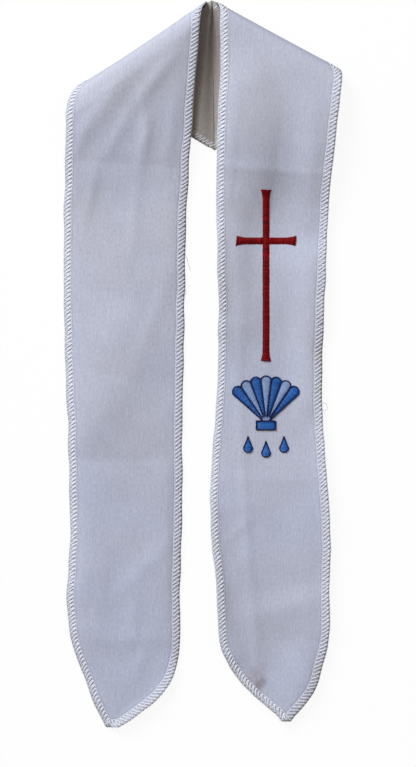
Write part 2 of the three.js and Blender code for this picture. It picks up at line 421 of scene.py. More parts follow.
@dataclass(frozen=True)
class StoleHalf:
    """One half of the stole: a front, its shoulder fold and its share of the back neck.

    Attributes:
        rest_levels: Levels of the inner and outer end of the line up to which the front rests on the surface.
        crest: Line along which the front is highest.
        fold: Line at which the cloth turns under.
        landing: Line at which the back neck meets the surface.
        rise_inner: Height of the crest's inner end, and rise_outer that of its outer end.
        fold_sag: How far the fold line bows below a straight one.
        back_bow: How far the back neck's lower edge bows above a straight one.
        area: Area of the whole cut, in square millimetres. Not used.
        rise_bend: 1 for an even rise from the surface to the crest, more for one that is steep at first.
        crown: How far the middle of the cloth stands above a drooping edge.
        droop_inner: How far the inner edge droops below the middle, as (level, droop) from the point up.
        droop_outer: The same of the outer edge. A curled-up edge droops by less than 0.
        tail: Places on the flat cut along the thread that has come loose from the overlock.
        hem_lift: How far the overlock holds the cloth's edge off the surface.
        bend_reach: Number of rows over which the smoothing where the front leaves the surface fades.
        row_crowding: 1 for even rows where the front rests, more for rows that crowd together at its point.
        fold_share: Height of the fold line as a share of the crest's.
        fold_fade: Quarter turns after which the front's creases start to fade, and over which they do.
        back_fade: How quickly the back neck's creases set in from the landing and end at the seam.
    """

    name: str
    side: Side
    inner_edge: EdgeLine
    outer_edge: EdgeLine
    rest_levels: Place
    crest: Span
    fold: Span
    landing: Span
    seam: Span
    rise_inner: float
    rise_outer: float
    fold_sag: float
    back_bow: float
    flat: Place
    area: float
    front_creases: tuple[Crease, ...]
    back_creases: tuple[Crease, ...]
    ripple: Ripple
    edge_ripple: Ripple
    rise_bend: float
    crown: float
    droop_inner: tuple[Place, ...]
    droop_outer: tuple[Place, ...]
    tail: tuple[Place, ...]
    tail_lift: float
    wall: float = 1.2
    seam_gap: float = 0.04
    inset: float = 0.42
    hem_lift: float = 0.72
    rest_softness: int = 80
    bend_reach: float = 16.0
    thickness: float = 0.86
    hem_thickness: float = 0.6
    hem_width: float = 6.5
    edge_reach: float = 12.0
    crown_reach: float = 6.0
    settle_softness: float = 0.5
    columns: int = 77
    row_step: float = 1.9
    row_crowding: float = 1.12
    rising_rows: int = 56
    turning_rows: int = 26
    back_rows: int = 50
    fold_share: float = 0.57
    fold_fade: Place = (0.35, 0.6)
    back_fade: Place = (4.0, 6.0)
    map_margin: float = 3.0

    def resting_rows(self) -> list[Row]:
        """Rows from the pointed end up to where the front leaves the surface.

        Returns:
            The rows in order.
        """
        tip = self.inner_edge.tip + self.inset
        count = round((max(self.rest_levels) - tip) / self.row_step)
        shares = (np.arange(count + 1) / count) ** self.row_crowding
        ends = []
        for edge, rest in zip((self.inner_edge, self.outer_edge), self.rest_levels):
            levels = tip + (rest - tip) * shares
            ends.append(np.stack((edge.across(levels), levels), axis=1))
        return [Row(inner, outer, front=1.0) for inner, outer in zip(*ends)]

    def rising_rows_to_crest(self) -> list[Row]:
        """Rows over which the front rises from the surface to its crest.

        Returns:
            The rows in order.
        """
        rows = []
        edges = (self.inner_edge, self.outer_edge)
        crest_levels = (self.crest.inner[1], self.crest.outer[1])
        for step in range(1, self.rising_rows + 1):
            share = step / self.rising_rows
            lift = 1.0 - (1.0 - share) ** self.rise_bend
            ends = []
            for edge, rest, crest in zip(edges, self.rest_levels, crest_levels):
                level = rest + (crest - rest) * share
                ends.append(np.array((float(edge.across(np.array(level))), level)))
            rises = (self.rise_inner * lift, self.rise_outer * lift)
            rows.append(Row(*ends, *rises, sag=self.fold_sag * share**2, front=1.0, loose=share))
        return rows

    def wound(self, start: Place, end: Place, travel: float, turn: float) -> Array:
        """Plan place part of the way round a quarter turn about the fold line.

        Args:
            start: Where the quarter turn starts.
            end: Where it ends.
            travel: Share of the way along the fold line.
            turn: Share of the way across it.

        Returns:
            The plan place.
        """
        along = self.fold.direction
        across = np.array((-along[1], along[0]))
        step = np.subtract(end, start)
        return np.array(start) + along * (step @ along) * travel + across * (step @ across) * turn

    def turning_rows_round_fold(self) -> list[Row]:
        """Rows round the shoulder fold, from the crest to where the back neck lands.

        Returns:
            The rows in order.
        """
        rows = []
        fade_start, fade_run = self.fold_fade
        for step in range(1, self.turning_rows + 1):
            quarters = 2.0 * step / self.turning_rows
            turn = math.sin(math.pi / 2.0 * quarters)
            fall = math.cos(math.pi / 2.0 * quarters)
            if quarters <= 1.0:
                first, last = self.crest, self.fold
                lift = self.fold_share + (1.0 - self.fold_share) * fall
                travel, across, sag = quarters, turn, self.fold_sag
            else:
                first, last = self.fold, self.landing
                lift = self.fold_share + self.fold_share * fall
                travel, across, sag = quarters - 1.0, 1.0 - turn, self.fold_sag * turn
            inner = self.wound(first.inner, last.inner, travel, across)
            outer = self.wound(first.outer, last.outer, travel, across)
            rises = (self.rise_inner * lift, self.rise_outer * lift)
            front = float(1.0 - ease(np.array((quarters - fade_start) / fade_run)))
            rows.append(Row(inner, outer, *rises, sag, self.fold.direction, front, loose=1.0))
        return rows

    def back_rows_to_seam(self) -> list[Row]:
        """Rows of the back neck, from where it lands to the centre-back seam.

        Returns:
            The rows in order.
        """
        rows = []
        aside = np.array((self.side.value * self.seam_gap / 2.0, 0.0))
        for step in range(1, self.back_rows + 1):
            share = step / self.back_rows
            inner = blend(np.array(self.landing.inner), np.array(self.seam.inner) + aside, share)
            outer = blend(np.array(self.landing.outer), np.array(self.seam.outer) + aside, share)
            outer[1] += hump(share, self.back_bow)
            set_in, end = self.back_fade
            back = float(ease(np.array(share * set_in)) * ease(np.array((1.0 - share) * end)))
            rows.append(Row(inner, outer, axis=self.fold.direction, back=back))
        return rows

    def flat_cut(self, middle: Array, rows: Sequence[Row]) -> Array:
        """Unfolds the cloth onto the plane that its front lies on.

        Args:
            middle: Places of the middle of the cloth.
            rows: The rows that they lie on.

        Returns:
            The place of each point on the flat cut.
        """
        cut = np.zeros(middle.shape[:2] + (2,))
        cut[0] = middle[0, :, :2]
        for index in range(1, len(rows)):
            axis = np.array(rows[index].axis)
            onward = np.array((-axis[1], axis[0]))
            onward = onward * math.copysign(1.0, onward[1])
            step = middle[index] - middle[index - 1]
            along = step[:, :2] @ axis
            past = np.sqrt(np.maximum((step**2).sum(1) - along**2, 0.0))
            cut[index] = cut[index - 1] + along[:, None] * axis + past[:, None] * onward
        return cut

    def hem_distance(self, cut: Array) -> Array:
        """Measures how far each point is from the nearest overlocked edge.

        Args:
            cut: Places of the grid on the flat cut.

        Returns:
            The distance of each point.
        """
        border = np.concatenate((cut[::-1, 0], cut[0, 1:-1], cut[:, -1]))
        start, run = border[:-1], np.diff(border, axis=0)
        length = np.maximum((run**2).sum(1), TINY)
        nearest = np.empty(cut.shape[:2])
        for index, places in enumerate(cut):
            offset = places[:, None, :] - start[None]
            share = np.clip((offset * run).sum(2) / length, 0.0, 1.0)
            nearest[index] = np.linalg.norm(offset - share[..., None] * run, axis=2).min(1)
        return nearest

    def normals(self, middle: Array) -> Array:
        """Unit normals of a grid of places, on the face side of the cloth."""
        down_rows, across_columns = np.gradient(middle, axis=(0, 1))
        return unit(np.cross(across_columns, down_rows)) * self.side.value

    def grid(self) -> ClothGrid:
        """Lays the cloth out: straight rows on the solid's form, then creases and waving along its normal.

        Returns:
            The finished grid.
        """
        rows = [
            *self.resting_rows(),
            *self.rising_rows_to_crest(),
            *self.turning_rows_round_fold(),
            *self.back_rows_to_seam(),
        ]
        share = np.linspace(0.0, 1.0, self.columns)[None, :, None]
        inner, outer = each(rows, "inner"), each(rows, "outer")
        inward = unit(outer - inner) * self.inset
        plan = blend(inner + inward, outer - inward, share)
        plan[..., 1] -= hump(share[..., 0], each(rows, "sag"))
        rise = blend(each(rows, "rise_inner"), each(rows, "rise_outer"), share[..., 0])
        height = self.wall / 2.0 + self.softened(rise, rows)
        middle = np.concatenate((plan, height[..., None]), axis=2)

        cut = self.flat_cut(middle, rows)
        hem = self.hem_distance(cut)
        middle = middle + self.edge_shift(cut, hem)
        middle[..., 2] += self.hem_lift * np.exp(-((hem / self.hem_width) ** 2))
        middle = middle + self.normals(middle) * self.relief(rows, plan, hem)[..., None]
        return ClothGrid(middle, self.normals(middle), cut, hem)

    def softened(self, rise: Array, rows: Sequence[Row]) -> Array:
        """Rounds the bend at which the front leaves the surface.

        Args:
            rise: Height of each point over where the cloth rests.
            rows: The rows of the grid.

        Returns:
            The heights, changed only near the bend.
        """
        bend = next(index for index, row in enumerate(rows) if row.loose > 0.0)
        near = np.exp(-(((np.arange(len(rows)) - bend) / self.bend_reach) ** 2))[:, None]
        return blend(rise, smoothed(rise, self.rest_softness), near)

    def edge_shift(self, cut: Array, hem: Array) -> Array:
        """Waves the cut edges a little sideways.

        Args:
            cut: Places of the grid on the flat cut.
            hem: Distance of each point to the nearest overlocked edge.

        Returns:
            How far each point moves, fading away from the edges.
        """
        shift = np.zeros(hem.shape + (3,))
        fade = np.exp(-((hem / self.edge_reach) ** 2))
        shift[..., 0] = self.edge_ripple.at(cut[..., 0], cut[..., 1]) * fade
        return shift

    def relief(self, rows: Sequence[Row], plan: Array, hem: Array) -> Array:
        """Height of creases and waving along the normal of the face side.

        Args:
            rows: The rows of the grid.
            plan: Plan places of the grid.
            hem: Distance of each point to the nearest overlocked edge.

        Returns:
            How far each point moves along its normal.
        """
        x, y = plan[..., 0], plan[..., 1]
        waving = self.ripple.at(x, y)
        across = ease(np.linspace(0.0, 1.0, self.columns))[None]
        inner, outer = (np.interp(y, *zip(*droops)) for droops in (self.droop_inner, self.droop_outer))
        crown = self.crown - blend(inner, outer, across) * np.exp(-hem / self.crown_reach)
        front, back = (
            waving + crown + sum(crease.height(x, y) for crease in creases)
            for creases in (self.front_creases, self.back_creases)
        )
        laid = blend(settled(front, self.settle_softness), front, each(rows, "loose"))
        return each(rows, "front") * laid - each(rows, "back") * settled(back, self.settle_softness)

    def skin_offset(self, hem: Array) -> Array:
        """Half the cloth's thickness, less where the overlock presses it together."""
        full = ease(hem / self.hem_width)
        return blend(self.hem_thickness / 2.0, self.thickness / 2.0, full)

    def sheet(self, grid: ClothGrid) -> Object:
        """Builds the cloth as a closed thin sheet.

        Args:
            grid: The half's grid.

        Returns:
            The cloth's object.
        """
        rows, columns = grid.shape
        count = rows * columns
        offset = self.skin_offset(grid.hem)[..., None] * grid.normal
        skins = [(grid.middle + skin.value * offset).reshape(-1, 3) for skin in Skin]
        index = np.arange(count).reshape(rows, columns)
        corners = (index[:-1, :-1], index[:-1, 1:], index[1:, 1:], index[1:, :-1])
        face = np.stack(corners, axis=-1).reshape(-1, 4)
        border = np.concatenate((index[::-1, 0], index[0, 1:-1], index[:, -1], index[-1, -2:0:-1]))
        ahead = np.roll(border, -1)
        rim = np.stack((border, border + count, ahead + count, ahead), axis=1)
        if self.side is Side.LEFT:
            face, rim = face[:, ::-1], rim[:, ::-1]
        wrong = face[:, ::-1] + count

        faces = np.concatenate((face, wrong, rim))
        draft = MeshDraft(np.concatenate(skins), faces.tolist(), flat_faces=len(rim))
        cut = np.concatenate((grid.cut.reshape(-1, 2),) * 2)
        draft.corner_maps[CUT_MAP] = cut[faces.ravel()] * MM
        draft.corner_maps[BAKE_MAP] = self.bake_map(grid, face, wrong, rim)
        draft.point_values[HEM] = np.tile(grid.hem.ravel(), 2) * MM
        draft.point_values[WRONG_SIDE] = np.repeat((0.0, 1.0), count)
        return draft.build(f"{self.name}_cloth")

    def bake_map(self, grid: ClothGrid, face: Array, wrong: Array, rim: Array) -> Array:
        """Lays both skins out without overlap, each cut across into two strips that lie side by side.

        Args:
            grid: The half's grid.
            face: Faces of the face side.
            wrong: Faces of the wrong side.
            rim: Faces between the two skins.

        Returns:
            A map place for each corner of the three lists of faces in turn.
        """
        rows, columns = grid.shape
        count = rows * columns
        flat = grid.cut.reshape(-1, 2) - grid.cut.min((0, 1))
        width, half_length = flat.max(0) / (1.0, 2.0)
        strip = np.array((width, half_length)) + 2.0 * self.map_margin
        placed = []
        for faces, first in ((face, 0), (wrong, 2), (rim, 0)):
            corner = flat[faces % count]
            upper = (corner[..., 1].mean(1) > half_length).astype(float)
            shift = np.stack(((first + upper) * strip[0], -upper * half_length), axis=1)
            placed.append(corner + self.map_margin + shift[:, None])
        corner = flat[rim % count]
        run = corner.max(1) - corner.min(1)
        ends = run[:, 0] > run[:, 1]
        outward = corner.mean(1) - flat.mean(0)
        outward = np.sign(np.where(np.stack((ends, ~ends), axis=1), 0.0, outward))
        placed[-1] += (rim >= count)[..., None] * outward[:, None] * self.map_margin * 0.4
        scale = 1.0 / max(4.0 * strip[0], strip[1])
        return np.concatenate([part.reshape(-1, 2) for part in placed]) * scale

    def border(self, grid: ClothGrid) -> Border:
        """Follows the overlocked edge on the flat cut, with the cloth on its left.

        Args:
            grid: The half's grid.

        Returns:
            The edge, down the left of the half as seen from above and up the right.
        """
        edges = (grid.cut[:, -1], grid.cut[:, 0])
        tip = grid.cut[0, -2:0:-1]
        if self.side is Side.RIGHT:
            edges = edges[::-1]
            tip = tip[::-1]
        return Border(np.concatenate((edges[0][::-1], tip, edges[1])))


class ClothMap:
    """Finds places over the cloth of a half from places on its flat cut."""

    def __init__(self, grid: ClothGrid) -> None:
        """Prepares the search.

        Args:
            grid: The half's grid.
        """
        rows, columns = grid.shape
        index = np.arange(rows * columns).reshape(rows, columns)
        first = np.stack((index[:-1, :-1], index[:-1, 1:], index[1:, 1:]), axis=-1).reshape(-1, 3)
        second = np.stack((index[:-1, :-1], index[1:, 1:], index[1:, :-1]), axis=-1).reshape(-1, 3)
        self.triangles = np.concatenate((first, second))
        self.cut = grid.cut.reshape(-1, 2)
        self.middle = grid.middle.reshape(-1, 3)
        self.normal = grid.normal.reshape(-1, 3)
        flat = np.concatenate((self.cut, np.zeros((len(self.cut), 1))), axis=1)
        self.tree = BVHTree.FromPolygons(flat.tolist(), self.triangles.tolist())

    def frame_at(self, places: Array) -> tuple[Array, Array]:
        """Middle of the cloth and its normal, carried on in the same plane past an edge.

        Args:
            places: Places on the flat cut, in any shape with pairs last.

        Returns:
            The places in space and the unit normals of the face side.
        """
        pairs = places.reshape(-1, 2)
        hits = [self.tree.find_nearest(Vector((u, v, 0.0)))[2] for u, v in pairs.tolist()]
        corners = self.triangles[np.array(hits)]
        a, b, c = (self.cut[corners[:, k]] for k in range(3))
        ab, ac, ap = b - a, c - a, pairs - a
        area = ab[:, 0] * ac[:, 1] - ab[:, 1] * ac[:, 0]
        area = np.where(np.abs(area) < TINY, TINY, area)
        second = (ap[:, 0] * ac[:, 1] - ap[:, 1] * ac[:, 0]) / area
        third = (ab[:, 0] * ap[:, 1] - ab[:, 1] * ap[:, 0]) / area
        weights = np.stack((1.0 - second - third, second, third), axis=1)[..., None]
        middle = (self.middle[corners] * weights).sum(1)
        inside = np.clip(weights, 0.0, 1.0)
        normal = unit((self.normal[corners] * inside).sum(1))
        shape = places.shape[:-1] + (3,)
        return middle.reshape(shape), normal.reshape(shape)

    def lifted(self, places: Array, lift: Array) -> tuple[Array, Array]:
        """Places at a height over the middle of the cloth, with the normals there.

        Args:
            places: Places on the flat cut.
            lift: Heights along the normal, which may be negative.

        Returns:
            The places in space and the unit normals.
        """
        middle, normal = self.frame_at(places)
        return middle + normal * np.broadcast_to(lift, places.shape[:-1])[..., None], normal


@dataclass
class Border:
    """An edge on the flat cut, with the cloth on its left as it is followed.

    Attributes:
        line: Places along the edge.
        turn_reach: Distance either way from which its direction is read.
    """

    line: Array
    turn_reach: float = 2.5

    def __post_init__(self) -> None:
        """Measures the edge along its length."""
        self.travel = travel_along(self.line)

    @property
    def length(self) -> float:
        """Length of the edge."""
        return float(self.travel[-1])

    def on_edge(self, travel: Array) -> Array:
        """Places on the edge at distances along it."""
        return places_at(np.clip(travel, 0.0, self.length), self.travel, self.line)

    def inside(self, travel: Array, depth: Array) -> Array:
        """Places at a depth in from the edge.

        Args:
            travel: Distances along the edge.
            depth: Distances in from it, negative past the edge.

        Returns:
            The places on the flat cut.
        """
        before = self.on_edge(travel - self.turn_reach)
        after = self.on_edge(travel + self.turn_reach)
        forward = unit(after - before)
        inward = np.stack((-forward[..., 1], forward[..., 0]), axis=-1)
        return self.on_edge(travel) + inward * np.asarray(depth)[..., None]


# ---------- Threads ----------


@dataclass
class ThreadBundle:
    """Threads of one colour gathered into one mesh, each a closed tube of flattened section.

    Attributes:
        end_share: Width of a thread's ends as a share of its own.
        cell_share: Share of its cell of the bake map that a thread fills.
        side_share: Share of its height there that its sides fill, with its end caps above them.
        cap_share: Radius of an end cap, as a share of the part of its cell that a thread fills.
    """

    cloth: ClothMap
    sides: int = 5
    end_share: float = 0.45
    cell_share: float = 0.86
    side_share: float = 0.8
    cap_share: float = 0.07
    _paths: list[tuple[Array, Array, float, float]] = field(default_factory=list)

    def add(
        self, places: Array, lift: Array, half_width: float, half_height: float, lowest: float = -1.0
    ) -> None:
        """Adds threads that have the same number of points.

        Args:
            places: Places along each thread on the flat cut, as threads by points by 2.
            lift: Height of each over the cloth's middle.
            half_width: Half the width of a thread.
            half_height: Half its height.
            lowest: Least height of its middle over the surface that the stole lies on.
        """
        paths, ups = self.cloth.lifted(places, lift)
        paths[..., 2] = np.maximum(paths[..., 2], lowest)
        self._paths.append((paths, ups, half_width, half_height))

    @property
    def count(self) -> int:
        """Number of threads added."""
        return sum(len(paths) for paths, *_ in self._paths)

    def build(self, name: str) -> Object:
        """Joins the threads into one object.

        Args:
            name: Name of the object.

        Returns:
            The new object, with the length and the round of each thread as a map and a random shade.
        """
        chance = np.random.default_rng(len(name) + self.count)
        points, faces, shades, along_maps, bake_maps = [], [], [], [], []
        start, first_cell = 0, 0
        cells = math.ceil(math.sqrt(self.count))
        for paths, ups, half_width, half_height in self._paths:
            rings = self._rings(paths, ups, half_width, half_height)
            threads, stations = paths.shape[:2]
            quads, caps = self._faces(threads, stations, start)
            faces += quads.tolist() + caps.tolist()
            points.append(rings.reshape(-1, 3))
            shades.append(np.repeat(chance.uniform(0.0, 1.0, threads), stations * self.sides))
            along_maps.append(self._thread_map(paths, chance))
            bake_maps.append(self._bake_map(threads, stations, first_cell, cells))
            start += threads * stations * self.sides
            first_cell += threads
        draft = MeshDraft(np.concatenate(points), faces)
        draft.point_values[SHADE] = np.concatenate(shades)
        draft.corner_maps[THREAD_MAP] = np.concatenate(along_maps)
        draft.corner_maps[BAKE_MAP] = np.concatenate(bake_maps)
        return draft.build(name)

    def _turns(self) -> Array:
        """Angle of each corner of a section."""
        return math.tau * np.arange(self.sides) / self.sides

    def _rings(self, paths: Array, ups: Array, half_width: float, half_height: float) -> Array:
        """Sets out the section corners of every thread.

        Args:
            paths: Places along each thread.
            ups: Which way each thread is flattened.
            half_width: Half the width of a thread.
            half_height: Half its height.

        Returns:
            The corners, as threads by stations by sides by 3.
        """
        forward = unit(np.gradient(paths, axis=1))
        sideways = unit(np.cross(forward, ups))
        upward = np.cross(sideways, forward)
        swell = np.ones(paths.shape[1])
        swell[[0, -1]] = self.end_share
        wide = half_width * swell[:, None] * np.cos(self._turns())
        high = half_height * swell[:, None] * np.sin(self._turns())
        spread = sideways[:, :, None] * wide[None, ..., None]
        return paths[:, :, None] + spread + upward[:, :, None] * high[None, ..., None]

    def _faces(self, threads: int, stations: int, start: int) -> tuple[Array, Array]:
        """Joins the section corners.

        Args:
            threads: Number of threads.
            stations: Points along each.
            start: Number of the first corner.

        Returns:
            The side faces and the end caps.
        """
        index = start + np.arange(threads * stations * self.sides).reshape(threads, stations, self.sides)
        ahead = np.roll(index, -1, axis=2)
        quads = np.stack((index[:, :-1], ahead[:, :-1], ahead[:, 1:], index[:, 1:]), axis=-1).reshape(-1, 4)
        caps = np.concatenate((index[:, 0, ::-1], index[:, -1]))
        return quads, caps

    def _unrolled(self, around: Array, along: Array) -> Array:
        """Unrolls the sides of the threads.

        Args:
            around: Map place across of each corner of a section, with the first one once more at the end.
            along: Map place up of each station, one row for each thread.

        Returns:
            A map place for each corner of the side faces.
        """
        patch = np.stack(np.broadcast_arrays(around, along[..., None]), axis=-1)
        corners = (patch[:, :-1, :-1], patch[:, :-1, 1:], patch[:, 1:, 1:], patch[:, 1:, :-1])
        return np.stack(corners, axis=-2).reshape(-1, 2)

    def _thread_map(self, paths: Array, chance: np.random.Generator) -> Array:
        """Maps each thread by its round and its length.

        Args:
            paths: Places along each thread.
            chance: Source of the random length at which each thread starts.

        Returns:
            Turns and metres for each corner of the side faces and of the caps.
        """
        steps = np.linalg.norm(np.diff(paths, axis=1), axis=2)
        travel = np.concatenate((np.zeros((len(paths), 1)), np.cumsum(steps, axis=1)), axis=1) * MM
        travel = travel + chance.uniform(0.0, 1.0, (len(paths), 1))
        side_map = self._unrolled(np.arange(self.sides + 1) / self.sides, travel)
        ends = np.repeat(np.concatenate((travel[:, 0], travel[:, -1])), self.sides)
        return np.concatenate((side_map, np.stack((np.zeros(len(ends)), ends), axis=1)))

    def _bake_map(self, threads: int, stations: int, first_cell: int, cells: int) -> Array:
        """Lays each thread out in a cell of its own.

        Args:
            threads: Number of threads.
            stations: Points along each.
            first_cell: Number of the first thread's cell.
            cells: Cells along each side of the map.

        Returns:
            A map place for each corner of the side faces and of the caps.
        """
        cell = first_cell + np.arange(threads)
        corner = np.stack((cell % cells, cell // cells), axis=1) / cells
        size = self.cell_share / cells
        around = corner[:, None, None, 0] + np.arange(self.sides + 1) / self.sides * size
        along = corner[:, None, 1] + np.arange(stations) / (stations - 1) * size * self.side_share
        disc = np.stack((np.cos(self._turns()), np.sin(self._turns())), axis=1) * size * self.cap_share
        level = (1.0 + self.side_share) / 2.0
        caps = []
        for across, ring in ((0.25, disc[::-1]), (0.75, disc)):
            caps.append(corner[:, None] + np.array((across, level)) * size + ring[None])
        return np.concatenate((self._unrolled(around, along), *[cap.reshape(-1, 2) for cap in caps]))


@dataclass
class Overlock:
    """The three-thread overlock that binds every cut edge of a half.

    A looper thread's height is given in its half-heights, at its ends and by how much it swells between.

    Attributes:
        lean: How far a looper thread runs on along the edge while it crosses the band.
        returning_share: Width of the returning looper threads as a share of the crossing ones.
        flatness: Height of a thread as a share of its width.
        surface: Height of the hem's skins over the middle of the cloth.
        past_edge: How far the threads reach past the edge.
        spread: Typical unevenness of a stitch along the edge, in depth and in lean.
        crossing_shares: Where a crossing thread on the face has its points, as shares of the way.
        crossing_height: Height of the crossing threads over the skin.
        returning_height: Height of the returning ones, which lie under them.
        edge_height: Height of both at the very edge, over the middle of the cloth.
        lock: How far the locking loops at the edge overlap.
    """

    border: Border
    bundle: ThreadBundle
    seed: int
    pitch: float = 3.4
    width: float = 5.5
    lean: float = 4.6
    looper_width: float = 1.5
    under_width: float = 0.9
    returning_share: float = 0.85
    needle_width: float = 0.72
    flatness: float = 0.34
    surface: float = 0.3
    past_edge: float = 0.12
    spread: tuple[float, float, float] = (0.16, 0.1, 0.25)
    crossing_shares: tuple[float, ...] = (0.0, 0.1, 0.3, 0.52, 0.74, 0.92, 1.0)
    crossing_height: Place = (0.9, 0.7)
    returning_height: Place = (0.35, 0.3)
    edge_height: float = 0.4
    lock: float = 0.5
    tail_size: Place = (0.2, 0.17)

    def __post_init__(self) -> None:
        """Sets out the needle holes along the border, with their depth and the lean of the threads."""
        chance = np.random.default_rng(self.seed)
        count = int(self.border.length / self.pitch) - 2
        along, inward, leaning = self.spread
        self.holes = (np.arange(count) + 0.5) * self.pitch + chance.normal(0.0, along, count)
        self.depth = self.width + chance.normal(0.0, inward, count)
        self.slant = self.lean + chance.normal(0.0, leaning, count)

    def sew(self) -> None:
        """Sews the whole border."""
        for skin in Skin:
            self._crossing(skin)
            self._returning(skin)
        self._needle_line()
        self._purl()

    def _lay(self, travel: Array, depth: Array, lift: Array, width: float) -> None:
        """Adds flattened threads to the bundle.

        Args:
            travel: Distances along the edge.
            depth: Depths in from it.
            lift: Heights over the cloth's middle.
            width: Width of a thread.
        """
        places = self.border.inside(travel, depth)
        self.bundle.add(places, lift, width / 2.0, width / 2.0 * self.flatness)

    def _looper_width(self, skin: Skin) -> float:
        """Width of the crossing looper threads on a skin."""
        return self.looper_width if skin is Skin.FACE else self.under_width

    def _crossing(self, skin: Skin) -> None:
        """Lays the looper threads that cross the band slantwise from a needle hole and bend round the edge.

        Args:
            skin: The skin that they lie on.
        """
        share = np.array(self.crossing_shares) if skin is Skin.FACE else np.linspace(0.0, 1.0, 5)
        width = self._looper_width(skin)
        height = width / 2.0 * self.flatness
        ends, swell = self.crossing_height
        over = self.surface + height * (ends + swell * np.sin(math.pi * share))
        over[0] = self.surface - height
        over[-1] = height * self.edge_height
        travel = self.holes[:, None] + self.slant[:, None] * share**1.12
        reach = self.depth[:, None] + self.past_edge
        self._lay(travel, self.depth[:, None] - reach * share, skin.value * over, width)

    def _returning(self, skin: Skin) -> None:
        """Lays the looper threads that come back from the edge to the next needle hole.

        Args:
            skin: The skin that they lie on.
        """
        share = np.linspace(0.0, 1.0, 6 if skin is Skin.FACE else 5)
        width = self._looper_width(skin) * self.returning_share
        height = width / 2.0 * self.flatness
        ends, swell = self.returning_height
        over = self.surface + height * (ends + swell * np.sin(math.pi * share))
        over[0] = height * self.edge_height
        over[-1] = self.surface - height
        start = self.holes + self.slant + self.lock
        end = self.holes + self.pitch
        travel = start[:, None] + (end - start)[:, None] * share
        inward = -self.past_edge + (self.depth[:, None] + self.past_edge) * share
        self._lay(travel, inward, skin.value * over, width)

    def _needle_line(self) -> None:
        """Lays the straight stitches that arch from hole to hole along the needle line."""
        share = np.linspace(0.0, 1.0, 6)
        height = self.needle_width / 2.0 * self.flatness
        over = self.surface + 0.1 + height * (2.2 * np.sqrt(np.sin(math.pi * share)) - 1.4)
        travel = self.holes[:-1, None] + np.diff(self.holes)[:, None] * share
        inward = self.depth[:-1, None] + np.diff(self.depth)[:, None] * share
        self._lay(travel, inward, over, self.needle_width)

    def _purl(self) -> None:
        """Lays the loops that lock the two loopers together along the very edge."""
        share = np.linspace(0.0, 1.0, 6)
        start = self.holes + self.slant
        travel = start[:-1, None] - self.lock + (np.diff(start)[:, None] + 2.0 * self.lock) * share
        out = -self.past_edge - 0.16 * np.sin(math.pi * share)
        self._lay(travel, out, 0.05 + 0.1 * np.sin(math.tau * share), self.needle_width)

    def fray(self, hairs: int) -> None:
        """Adds short fine fibres that stand out from the edge.

        Args:
            hairs: Number of fibres.
        """
        chance = np.random.default_rng(self.seed + 1)
        share = np.linspace(0.0, 1.0, 5)
        start = chance.uniform(0.0, self.border.length, hairs)[:, None]
        reach = chance.uniform(0.7, 2.2, hairs)[:, None]
        drift = chance.normal(0.0, 1.6, hairs)[:, None]
        curl = chance.normal(0.0, 0.8, hairs)[:, None]
        travel = start + drift * share + curl * np.sin(math.pi * share)
        root = 0.4
        depth = root - (reach + root) * share
        lift = 0.25 * chance.uniform(-0.4, 1.0, hairs)[:, None] * np.sin(math.pi * share)
        self.bundle.add(self.border.inside(travel, depth), lift, 0.07, 0.05)

    def tail(self, places: Sequence[Place], lift: float) -> None:
        """Adds a loose thread that lies where it fell.

        Args:
            places: Places along it on the flat cut.
            lift: Height of its middle over the cloth's middle.
        """
        known = np.array(places)
        travel = travel_along(known)
        even = np.linspace(0.0, travel[-1], 4 * len(known))
        line = smoothed(places_at(even, travel, known), 3)
        self.bundle.add(line[None], lift, *self.tail_size, lowest=self.tail_size[0])


@dataclass(frozen=True)
class Satin:
    """Satin stitch: threads laid side by side across a shape, rounded up over its middle.

    Attributes:
        surface: Height of the cloth's face over its middle.
        crown: Height of the middle of a wide column over the cloth.
        slant: Turn of the threads from square to the column, in degrees.
        sunk: How far the ends of the threads sink below the cloth's face.
        layer: Most by which a thread lies over or under its neighbours.
        least_crown: Share of the crown that the narrowest columns keep.
    """

    spacing: float = 0.4
    thread_width: float = 0.52
    surface: float = 0.43
    crown: float = 1.05
    crown_width: float = 2.6
    slant: float = 5.0
    jitter: float = 0.1
    stations: int = 7
    sunk: float = 0.12
    layer: float = 0.05
    least_crown: float = 0.25
    roundness: float = 0.7

    def column(self, bundle: ThreadBundle, spine: Array, half_widths: Array, seed: int) -> None:
        """Fills a column along a spine.

        Args:
            bundle: Where the threads go.
            spine: Places along the middle of the column.
            half_widths: Half the column's width at each of them.
            seed: Start of the small unevenness.
        """
        travel = travel_along(spine)
        even = np.arange(self.spacing / 2.0, travel[-1], self.spacing)
        centre = places_at(even, travel, spine)
        half = np.interp(even, travel, half_widths)
        forward = unit(np.gradient(centre, axis=0))
        turn = math.radians(90.0 - self.slant)
        spun = np.array(((math.cos(turn), -math.sin(turn)), (math.sin(turn), math.cos(turn))))
        across = forward @ spun.T
        chance = np.random.default_rng(seed)
        low = -half - chance.normal(0.0, self.jitter, len(half))
        high = half + chance.normal(0.0, self.jitter, len(half))
        share = (1.0 - np.cos(np.linspace(0.0, math.pi, self.stations))) / 2.0
        reach = low[:, None] + (high - low)[:, None] * share
        places = centre[:, None] + across[:, None] * reach[..., None]
        height = self.crown * np.clip(half / self.crown_width, self.least_crown, 1.0)[:, None]
        dome = np.sqrt(np.clip(hump(share), 0.0, 1.0)) ** 1.2
        layer = chance.uniform(-self.layer, self.layer, len(half))[:, None]
        lift = self.surface - self.sunk + (height + layer) * dome
        bundle.add(places, lift, self.thread_width / 2.0, self.thread_width / 2.0 * self.roundness)


# ---------- Embroidery ----------


